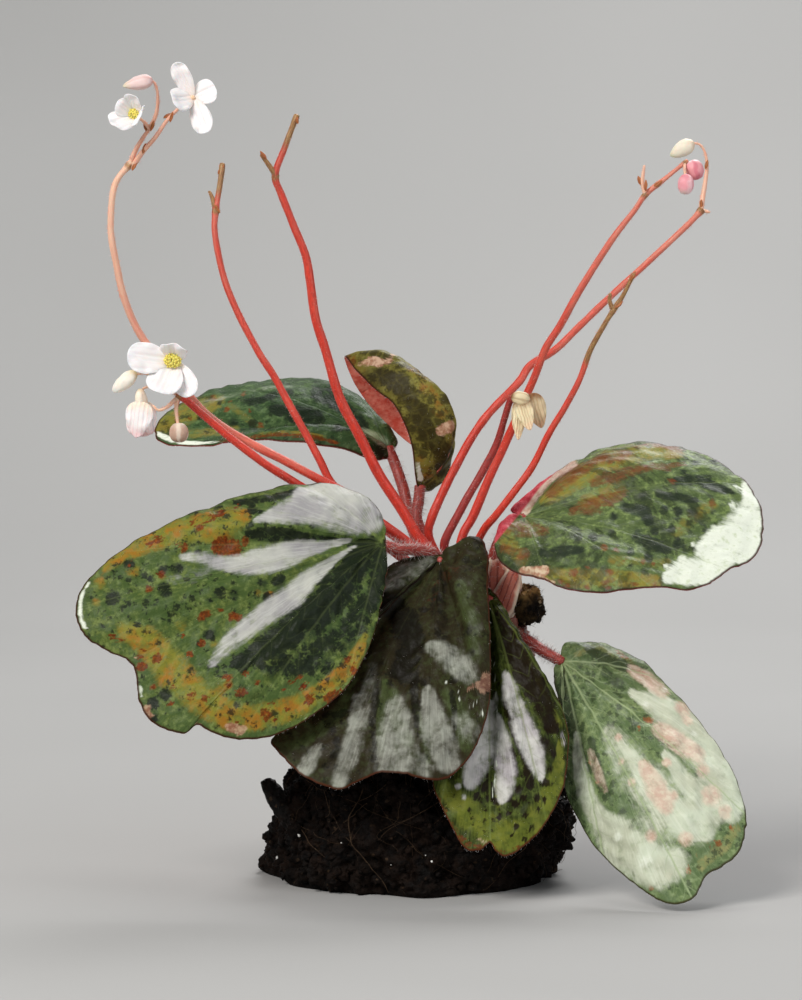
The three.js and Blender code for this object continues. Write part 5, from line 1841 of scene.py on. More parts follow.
LEAF_2_MARKS = {
    Mark.DARK: (
        Stroke(1, (-10.1, 68.6, 2.2), (-5.7, 64.2, 3.7), (-3.5, 56.8, 3.7), (-5.7, 51, 2.9)),
        Stroke(0.8, (-11.6, 48, 1), (-12.4, 43.6, 1.2), (-13.1, 38.5, 1), (-12.4, 30.4, 0.7),
            (-12.2, 26, 0.7)),
        Stroke(0.7, (-2.8, 51, 1.5), (-2.4, 43.6, 1.2), (-1.7, 34.8, 0.7)),
        Stroke(0.7, (6.8, 45.1, 1), (7.5, 39.2, 0.9), (6.8, 33.3, 0.7)),
        Dots(0.6, (10.4, 61.2, 1.9), (11.5, 55.4, 1.3), (-33.7, 34.8, 1.3), (-30.7, 31.7, 1),
            (12.3, 45.1, 1.2), (13.4, 38.8, 1), (-19, 48, 1.2)),
        Stroke(0.6, (4.6, 74.5, 1.8), (3.1, 67.1, 2.2), (4.6, 60.5, 2.2)),
        Stroke(0.5, (-24.1, 39.2, 2.2), (-21.9, 31.8, 1.3), (-24.9, 27.4, 1.5)),
    ),
    Mark.GOLD: (
        Stroke(0.6, (-18.2, 49.5, 1.5), (-20.4, 42.1, 1.8), (-27.8, 34.8, 2), (-33.7, 31.8, 1.3)),
        Stroke(0.75, (-7.9, 45.1, 1.6), (-7.2, 39.2, 2.2), (-4.3, 33.3, 1.8)),
        Stroke(0.75, (5.3, 45.1, 1.6), (9, 39.2, 2.6), (10.4, 31.8, 1.9)),
        Stroke(0.7, (-10.1, 48, 1.3), (-10.9, 40.7, 1.5), (-11.2, 30.4, 1.2)),
        Stroke(0.7, (-2.1, 42.1, 0.9), (-0.2, 34.8, 1), (0.9, 28.2, 1)),
        Stroke(0.6, (9, 72.3, 1.8), (11.2, 64.2, 2.1), (12.3, 54.6, 1.6)),
    ),
    Mark.RUST: (
        Stroke(0.3, (1.6, 68.6, 1), (4.6, 73.8, 1.5), (8.2, 76.7, 1.2)),
    ),
    Mark.DRY: (
        Stroke(1, (15.4, 49.1, 1.5), (15, 46.9, 1.8), (13, 47.3, 1.3), (11, 46.5, 0.8)),
    ),
    Mark.PALE_AND_GLARE: (
        Dots(0.7, (8.6, 43.6, 0.4), (5.3, 47.9, 0.5), (14.3, 40.4, 0.6), (12.8, 43.6, 0.4), (8.2, 45.7, 0.3),
            (12.1, 42.1, 0.3), (11.2, 41.4, 0.3)),
    ),
    # Grey streaks that are partly silver marking and partly painted sheen.
    Mark.SILVER_AND_SHEEN: (
        Stroke(0.66, (1.6, 56.8, 1.7), (5.3, 55, 3.1), (9, 52.1, 3.4), (11.5, 48.8, 2.1)),
        Stroke(0.7, (-17.1, 44, 1.3), (-17.6, 36.2, 2.1), (-19.1, 28.9, 2.7), (-21.5, 23, 1.9)),
        Stroke(0.45, (-13.5, 49.5, 1.1), (-14.6, 45.1, 1.7), (-15.4, 38.5, 1.7), (-16.2, 31.8, 1.1)),
        Stroke(0.61, (-6.8, 42.1, 2.9), (-7.2, 35.5, 5), (-7.2, 30.4, 5.7), (-7.6, 26, 4.6)),
        Stroke(0.49, (-2.8, 30.4, 2.9), (0.1, 26.7, 2.9)),
        Stroke(0.78, (0.9, 45.8, 1.7), (2, 39.2, 3.4), (3.8, 33.3, 4.4), (5.7, 28.5, 3.4)),
        Stroke(0.74, (-26.7, 31.8, 1.3), (-28.9, 28.2, 2.1), (-30.7, 25.6, 1.7)),
        Stroke(0.45, (-10.1, 72.3, 1.9), (-5, 74.9, 2.7), (0.9, 78, 1.7)),
        Stroke(0.45, (9, 39.2, 2.9), (11.5, 34.8, 2.9)),
        Stroke(0.2, (9.9, 73, 1.9), (11.9, 66.4, 2.2), (13, 60.5, 2.1), (13.4, 54.6, 1.3)),
        Stroke(0.26, (-13.1, 51.7, 1.6), (-13.5, 42.1, 1.6), (-12.7, 31.8, 1.6)),
        Stroke(0.3, (-10.9, 34.8, 1.9), (-10.1, 28.2, 2.2), (-2.8, 27.4, 3.2), (4.6, 27.4, 2.5)),
        Stroke(0.22, (-1.3, 45.1, 1.8), (6, 42.1, 2.2), (10.4, 40.7, 1.8)),
    ),
}

LEAF_3_MARKS = {
    Mark.SILVER_AND_SHEEN: (
        Stroke(0.78, (16.6, 42.8, 0.8), (16, 36.8, 2), (14.8, 31.6, 3.1), (12.9, 26.4, 3.1),
            (11.4, 22.8, 1.8)),
        Stroke(0.78, (18.3, 39.4, 0.9), (19.1, 33.3, 2.2), (20, 27.3, 2.8), (20, 22.1, 2.5),
            (19.1, 18.5, 1.1)),
        Stroke(0.78, (20.3, 49.7, 1.1), (21.7, 44.5, 2.5), (24, 38.5, 2.8), (26.3, 32.5, 3.1),
            (28, 27.3, 2.2), (28.9, 24.5, 1.1)),
        Dots(0.8, (34.3, 35, 0.7), (34.7, 32.9, 0.7), (8.2, 22.1, 0.9), (9.7, 19.5, 0.7)),
        Stroke(0.4, (17.7, 45.4, 0.7), (17.2, 38.5, 1.2), (17.8, 29.9, 1.2)),
    ),
    Mark.DARK: (
        Stroke(0.95, (18.5, 65.2, 1.2), (21.6, 57.5, 2.9), (25.9, 49.7, 3.4), (29.3, 42.8, 2.9),
            (31.5, 36.8, 1.9)),
        Stroke(1, (20, 42.8, 0.7), (22, 36.8, 1), (24.6, 30.7, 1.2), (25.9, 25.1, 1.2)),
        Stroke(0.6, (17.2, 58.3, 0.5), (17.2, 47.1, 0.4)),
        Stroke(0.8, (29.7, 33.3, 1.7), (31.9, 29.9, 1.2)),
        Dots(0.95, (12.9, 19.4, 1), (14.8, 21.9, 1.4), (16.2, 19.2, 1.3), (17.8, 18, 1), (20.7, 19.4, 1.3),
            (22.8, 17.6, 1.1), (25, 15, 1), (26, 22.8, 1.5), (28, 19.4, 0.9), (30.2, 23, 1),
            (26.7, 11.8, 0.8), (22.8, 11.8, 0.9), (21.1, 15.2, 0.9), (18.5, 14.4, 0.6), (24.6, 19.4, 1),
            (31.2, 26.4, 1), (28.4, 16.1, 0.8), (11.2, 16.1, 0.8), (21.6, 9.9, 0.6), (25, 9, 0.6),
            (29.7, 18.5, 0.8), (23.3, 21.2, 1.1)),
        Stroke(0.8, (19.1, 35, 0.4), (21.6, 30.7, 0.8), (22.6, 24.7, 0.8)),
        Stroke(0.7, (15.5, 24.7, 0.8), (17.2, 20.4, 0.8)),
    ),
    Mark.GOLD: (
        Stroke(0.9, (5.2, 21.9, 1.9), (9.5, 16.9, 3.3), (14.7, 11.8, 4.1), (20.7, 9.2, 4.1),
            (26.7, 11.8, 3.6), (31, 19.5, 2.8), (33.2, 26.4, 1.6), (34.1, 33.3, 0.9)),
        Stroke(0.7, (18.1, 24.7, 0.9), (18.3, 17.6, 0.9)),
        Stroke(0.65, (21.6, 61.8, 0.6), (27.2, 51.4, 0.9), (31.2, 42.8, 1), (33.8, 37.6, 0.9)),
        Dots(0.5, (24.1, 55.7, 1), (26.7, 45.4, 1), (29.3, 38.5, 1.2), (21.6, 50.6, 0.7)),
    ),
    Mark.RUST: (
        Stroke(0.44, (3, 20.4, 0.5), (6.9, 12.6, 0.6), (11.2, 7.5, 0.8), (17.2, 7, 0.7), (20.7, 6, 0.8),
            (25, 7.5, 0.5)),
    ),
    Mark.BLUSH: (
        Stroke(0.6, (12.9, 9, 0.5), (16.4, 7.3, 0.7)),
    ),
    Mark.PALE_AND_GLARE: (
        Stroke(0.75, (17.2, 52.7, 0.3), (17.8, 42.8, 0.3), (18.3, 35, 0.3), (17.7, 26.4, 0.3),
            (16.8, 19.5, 0.3)),
    ),
}

LEAF_4_MARKS = {
    Mark.SILVER_AND_SHEEN: (
        Stroke(0.85, (51.7, 45.4, 1.1), (56.9, 42.8, 2.6), (62.9, 38.5, 4.5), (68.1, 33.3, 5.4),
            (73.3, 26.4, 5.8), (75.9, 19.5, 4.5), (76.7, 15.2, 2.6)),
        Stroke(0.85, (48.3, 33.3, 0.9), (52.6, 28.1, 2.2), (56.9, 21.2, 3.7), (62.1, 15.2, 5.2),
            (68.1, 12.6, 5.2)),
        Stroke(0.85, (43.1, 14.4, 1.3), (46.6, 10.9, 4.5), (51.7, 5.7, 6.2), (57.8, 2.3, 5.8),
            (62.1, 3.1, 4.3)),
        Stroke(0.7, (37.9, 35, 0.9), (38.8, 26.4, 1.9), (40.5, 19.5, 2.4), (43.1, 14.4, 2.6)),
        Stroke(0.85, (60.3, 29.9, 1.3), (65.5, 23, 3), (71.6, 16.1, 4.1)),
        Stroke(0.5, (46.6, 35, 2.6), (53.4, 24.7, 6), (60.3, 16.1, 6.9), (53.4, 7.5, 5.2)),
        Stroke(0.8, (55.2, 48, 0.9), (60.3, 42.8, 1.9), (65.5, 36.8, 2.6)),
    ),
    Mark.DARK: (
        Stroke(0.8, (34.5, 49.7, 0.9), (35.5, 41.9, 1.4), (37.1, 34.2, 1)),
        Stroke(0.9, (40.5, 56.6, 0.9), (44.8, 54, 1.4), (50.4, 51.6, 1.4)),
        Stroke(0.9, (44.8, 50.6, 1.2), (48.3, 47.8, 1.6)),
        Stroke(0.8, (41.4, 33.3, 1), (43.5, 25.6, 1.4), (44.8, 19.5, 1)),
        Stroke(0.7, (50.9, 30.7, 1), (53.4, 23.8, 0.9)),
        Dots(0.8, (52.2, 45.8, 1.2), (55.3, 44.4, 1.2), (51.9, 36.6, 1.2), (55.2, 39.2, 0.9),
            (48.3, 41.9, 1), (49.6, 16.1, 1), (51.7, 11.8, 0.9), (59.5, 14.4, 0.9), (36.2, 48.8, 0.9),
            (38.8, 52.3, 0.9), (63.8, 5.7, 1), (56.5, 11.8, 0.9), (46.6, 36.8, 0.9)),
        Stroke(0.6, (36.6, 42.8, 1), (37.9, 35, 1.1), (40.5, 26.4, 0.9)),
        Stroke(0.55, (41.6, 34.2, 0.8), (43.5, 26.4, 0.9), (46.6, 17.8, 0.8)),
        Stroke(0.5, (49.6, 32.5, 0.8), (52.2, 25.6, 0.9), (55.6, 18.7, 0.7)),
        Stroke(0.4, (55.2, 16.1, 1.4), (60.3, 11.8, 1.2)),
    ),
    Mark.RUST: (
        Stroke(0.56, (48.3, 55.6, 0.7), (51.7, 52.7, 0.8), (55.2, 49.5, 0.8)),
        Dots(0.95, (56, 38.5, 1.1), (50.9, 30.7, 0.8), (73.3, 7.9, 1), (65.9, 1, 0.9), (60.8, -0.3, 0.8),
            (53.4, 36.8, 0.6), (56.5, -3.1, 0.6), (64, 11.8, 0.6), (76.7, 11.8, 0.7), (68.1, 4.7, 0.5),
            (70.9, 7.5, 0.5), (56.9, 9, 0.5), (60.3, 23, 0.5), (41.2, 28.1, 0.5), (43.1, 23, 0.6),
            (75.9, 16.1, 0.5), (52.8, 26.4, 0.5)),
    ),
    Mark.BLUSH: (
        Dots(0.9, (64.2, 41.5, 1.7), (65.1, 8.8, 1.6), (71.6, 19.5, 2.4), (75, 15.9, 1.6), (56.5, 9.6, 1.3),
            (69.4, 26, 1.6), (48.3, 34.2, 1), (60.5, 28, 1.2), (51.7, 23, 1), (62.1, 19.5, 1.2)),
        Stroke(0.9, (51.7, 51.2, 1.4), (56, 48.4, 2.1), (59.7, 45.2, 1.6)),
        Stroke(0.85, (58.6, 36.3, 2.1), (63.1, 33.1, 2.9), (68.1, 29.7, 2.4)),
        Stroke(0.95, (54.7, 27.3, 1.7), (57.8, 21.2, 2.8), (60.3, 16.8, 2.2)),
        Stroke(0.6, (41.4, 30.7, 1), (43.1, 25.6, 1.4), (44.8, 21.1, 1)),
        Dots(0.85, (64.2, 41.5, 2.1), (65.1, 8.8, 2.1), (71.6, 19.5, 2.9), (75, 15.9, 2.1), (56.5, 9.6, 1.7),
            (69.4, 26, 1.9), (48.3, 34.2, 1.2), (60.5, 28, 1.4), (51.7, 23, 1.2), (62.1, 19.5, 1.6),
            (65.5, 38.5, 1.4), (49.1, 28.1, 1)),
    ),
    Mark.GOLD: (
        Stroke(0.8, (78, 11.8, 1), (75, 7.5, 1.6), (69, 2.3, 1.4)),
        Stroke(0.5, (37.9, 54.9, 0.9), (43.1, 56.6, 0.9), (48.3, 53.8, 0.9)),
    ),
    Mark.PALE_AND_GLARE: (
        Dots(0.6, (59.7, 46.2, 0.8), (55.2, 42.6, 0.9), (51.7, 44.4, 0.6), (55.2, 3.1, 1.9), (60.3, 7, 1.2),
            (48.3, 9.2, 1.4), (67.2, 35, 1.4)),
    ),
}

LEAF_5_MARKS = {
    Mark.RED: (
        Stroke(1, (16.8, 84.3, 1.6), (19.2, 88.7, 2.6), (22.9, 93.5, 2.9), (27.3, 98.2, 2.2),
            (32.8, 101.8, 1)),
    ),
    Mark.BLUSH: (
        Stroke(1, (25.2, 90.7, 1.2), (27.3, 94.9, 1.6), (31.3, 99.3, 1.6), (37.2, 102.6, 1)),
    ),
    Mark.RUST: (
        Stroke(0.77, (31.3, 94.9, 1.3), (35.4, 99, 2.1), (40.9, 101.9, 1.6)),
        Stroke(0.72, (42, 103.2, 1), (45.7, 103.7, 1.6), (50.8, 105, 1.1)),
        Stroke(0.59, (50.8, 106.7, 0.6), (57.4, 107.4, 0.8), (64, 106.2, 0.8)),
        Stroke(0.68, (42, 97.6, 1.3), (47.9, 99.7, 1.9), (54.5, 101.3, 1.3), (60.4, 101.8, 1.1),
            (64.8, 102.6, 0.7)),
        Stroke(0.68, (37.2, 90.7, 1.3), (42.7, 92.4, 2.4), (49.3, 94.9, 1.5)),
        Stroke(0.59, (18.5, 86.5, 2.8), (23.6, 86.3, 2.4), (30.2, 85.7, 1.3)),
        Stroke(0.51, (19.9, 81.3, 1.6), (24.3, 79.9, 1.8)),
        Dots(0.9, (37.2, 75.4, 1.2), (35.5, 72.1, 0.7), (40.5, 71.8, 0.8), (45.8, 71.6, 0.7), (46, 75.4, 1),
            (45.7, 73.2, 1), (50.1, 78.4, 0.7), (54.5, 77.9, 0.9), (57.1, 77.6, 0.7), (52.3, 72.9, 0.7),
            (57.4, 72.4, 0.9), (71.8, 92.6, 0.9), (44.9, 81.5, 1), (47.9, 81, 0.7), (33.9, 73.2, 0.6),
            (40.5, 76.5, 0.6), (61.8, 98.2, 0.6)),
    ),
    Mark.DARK: (
        Stroke(0.85, (29.5, 80.2, 1.2), (34.6, 80.6, 1.6), (39, 81.2, 1)),
        Stroke(0.9, (50.1, 91.5, 1.3), (54.5, 90.7, 1.8), (56, 87.9, 1.3)),
        Stroke(0.9, (58.2, 94.9, 0.9), (63.3, 94.2, 1.2), (67.7, 93.5, 0.9)),
        Stroke(1, (62.6, 98.2, 1), (67.7, 98.4, 1.5), (72.9, 96.6, 1.3), (76.5, 95.6, 0.7)),
        Stroke(0.95, (53, 84.1, 1.3), (57.4, 82.2, 1.9), (60.4, 80.9, 1.2)),
        Dots(0.85, (59.6, 91, 1.4), (63.3, 90.6, 1.4), (67.7, 102.8, 1), (72.1, 103.2, 1),
            (75.1, 101.9, 0.7), (63.5, 82.6, 1.9), (65.1, 81.3, 1.2), (51.5, 80.4, 1.2), (56, 79.1, 1.4),
            (42, 84.1, 1.4), (46.8, 85, 1.2), (57.4, 85.7, 1.2), (61.8, 86.3, 1.2), (67, 90.7, 1.2),
            (60.4, 100.8, 0.8), (64.8, 100.4, 1), (38.3, 84.3, 1.2), (47.1, 89.4, 1.2), (70.7, 99, 1),
            (54.5, 94.6, 1.2), (51.5, 76.9, 1), (61.8, 76.9, 1)),
        Dots(0.7, (67.7, 81.3, 1.2), (72.1, 90.5, 1), (74.3, 92.4, 0.7), (69.9, 85.7, 0.9), (66.2, 87.9, 1),
            (63.3, 88.7, 1), (53.4, 85.7, 1.2)),
    ),
    Mark.GOLD: (
        Stroke(0.8, (30.2, 93.5, 1.9), (36.8, 97.9, 2.8), (45.7, 103, 3.2), (54.5, 105.4, 2.5),
            (63.3, 105.1, 1.5)),
        Stroke(0.7, (40.5, 93.1, 2.2), (48.6, 96.8, 1.9)),
        Stroke(0.7, (18.5, 87.2, 2.2), (21.4, 82.1, 2.2), (24.3, 78.4, 1.8)),
        Stroke(0.9, (31, 74.9, 2.2), (38.3, 74, 2.5), (47.1, 74.1, 2.2), (57.4, 73.2, 1.8)),
        Stroke(0.5, (63.3, 85.7, 2.2), (67.7, 89.4, 2.2), (72.1, 92.4, 1.6)),
        Stroke(0.5, (47.1, 78.4, 1.6), (60.4, 77.6, 1.6)),
    ),
    Mark.DRY: (
        Stroke(1, (24.5, 75.6, 1.3), (27.3, 75.4, 1.8), (29.9, 76, 1.3)),
        Stroke(0.8, (29.5, 74, 0.7), (32.1, 72.9, 0.7)),
    ),
    Mark.SILVER_AND_SHEEN: (
        Stroke(0.18, (29.1, 90, 1), (40.5, 94.3, 1), (50.8, 97.9, 0.9), (58.2, 101.9, 0.7)),
        Stroke(0.21, (47.9, 93.5, 1.5), (56, 96, 1.9), (63.3, 96.4, 1.3)),
        Stroke(0.18, (27.3, 82.8, 1.5), (33.9, 83.9, 2.1), (40.5, 83.5, 1.5), (51.5, 87.2, 1.2)),
    ),
    # Painted glare: the white highlight over the right side of the blade.
    Mark.PALE_AND_GLARE: (
        Stroke(1, (79.9, 97.9, 0.9), (81.7, 93.1, 2.5), (80.4, 87.2, 4.6), (75.4, 82.9, 5), (71, 81, 3.4)),
        Stroke(1, (75.1, 79.1, 2.9), (70.3, 75.6, 3.1), (64.8, 75.6, 3.2), (61.2, 74.4, 1.8)),
        Stroke(1, (82.4, 85.7, 2.5), (81, 80.6, 2.2), (78.8, 78.8, 1.5)),
        Dots(0.75, (68.6, 80.6, 1.5), (72.7, 86.3, 1.5), (77.9, 96.9, 0.7), (64.4, 78.5, 1.3),
            (60.4, 76.8, 0.9), (76.9, 92.4, 1), (67, 82.6, 0.7)),
    ),
}

LEAF_6_MARKS = {
    Mark.GOLD: (
        Stroke(0.5, (-48.8, 117.1, 1.2), (-42.1, 112.1, 1.2)),
        Stroke(0.8, (-41.2, 110.1, 0.5), (-32.9, 110.4, 0.5), (-25.4, 109.4, 0.5)),
        Stroke(1, (-65.8, 111.9, 2.5), (-61.7, 114.2, 2.8), (-57.1, 116.2, 2.7), (-51.7, 118.1, 1.7)),
        Stroke(0.7, (-58.8, 110, 1.3), (-52.1, 110.4, 1.2), (-47.1, 111.2, 1)),
    ),
    Mark.DARK: (
        Stroke(0.75, (-44.6, 117.9, 1), (-40.4, 118.6, 0.9), (-37.1, 120, 1.3), (-33.8, 120.4, 1.2)),
        Stroke(0.9, (-37.9, 116.2, 1.2), (-32.9, 115, 2.5), (-27.1, 113.8, 2.2)),
        Stroke(0.85, (-23.8, 118.8, 1.7), (-18.8, 115.4, 2), (-15.4, 111.9, 1.7)),
        Dots(0.75, (-27.1, 119.8, 2), (-23.8, 120.6, 1.3), (-47.9, 112.9, 1.3), (-42.8, 112.4, 1.6),
            (-51.2, 117.9, 0.9), (-11.2, 106.2, 2.2), (-29.6, 109.6, 0.9), (-56.2, 114.2, 1),
            (-61.2, 111.9, 1), (-52.1, 111.9, 1), (-22.1, 111.2, 1.5)),
    ),
    Mark.RUST: (
        Stroke(0.85, (-50.8, 108.1, 0.5), (-43.8, 109.2, 0.6), (-35.4, 109.9, 0.6), (-27.1, 109.1, 0.6),
            (-22.1, 107.9, 0.5)),
        Dots(0.85, (-52.9, 118.9, 0.8), (-45.4, 120, 0.7), (-49.6, 115.9, 0.8), (-41.2, 112.2, 1),
            (-48.8, 118.2, 0.5), (-58.8, 113.8, 0.6), (-62.1, 112.9, 0.6), (-60, 110.1, 0.5),
            (-43.8, 115.8, 0.6), (-55.4, 116.7, 0.5)),
    ),
    Mark.PALE_AND_GLARE: (
        Stroke(1, (-66.4, 110, 0.6), (-62.9, 108.5, 0.7), (-57.9, 107.8, 0.5), (-52.1, 108.1, 0.3)),
    ),
    Mark.SILVER_AND_SHEEN: (
        Stroke(0.5, (-15.4, 110.8, 1), (-11.2, 108.6, 1.5), (-9.2, 106.9, 1)),
        Stroke(0.3, (-57.9, 117.1, 1.2), (-51.2, 118.9, 0.8), (-41.2, 121.2, 0.8), (-32.9, 122.1, 0.7)),
    ),
}

LEAF_7_MARKS = {
    Mark.DARK: (
        Stroke(0.9, (-14.2, 124.2, 2.5), (-7.2, 122.8, 3), (-3.2, 117.8, 2.8), (-0.2, 112.2, 2.6),
            (3.8, 106.2, 2.6), (4.8, 101.8, 2.6)),
    ),
    Mark.GOLD: (
        Stroke(0.6, (-3.2, 126.2, 2), (0.8, 120.8, 2), (3.8, 115.2, 2)),
        Stroke(0.8, (-1.2, 103.8, 1.5), (0.8, 99.2, 1.5)),
        Stroke(0.6, (-18.2, 125.8, 1.8), (-14.8, 122.2, 1.8)),
    ),
    Mark.DRY: (
        Stroke(1, (-14, 128.6, 1.2), (-11.6, 128, 1.4)),
        Stroke(1, (3.8, 111.2, 1.6), (5.8, 112.2, 1.6)),
        Stroke(0.7, (-7.8, 129.8, 1), (-9.2, 128.2, 1)),
    ),
    Mark.RUST: (
        Stroke(0.9, (-19.8, 128.8, 1.1), (-17.8, 128.2, 1.1)),
    ),
    Mark.PALE_AND_GLARE: (
        Stroke(1, (-2, 102.8, 0.7), (-1.2, 99.2, 0.7)),
    ),
}

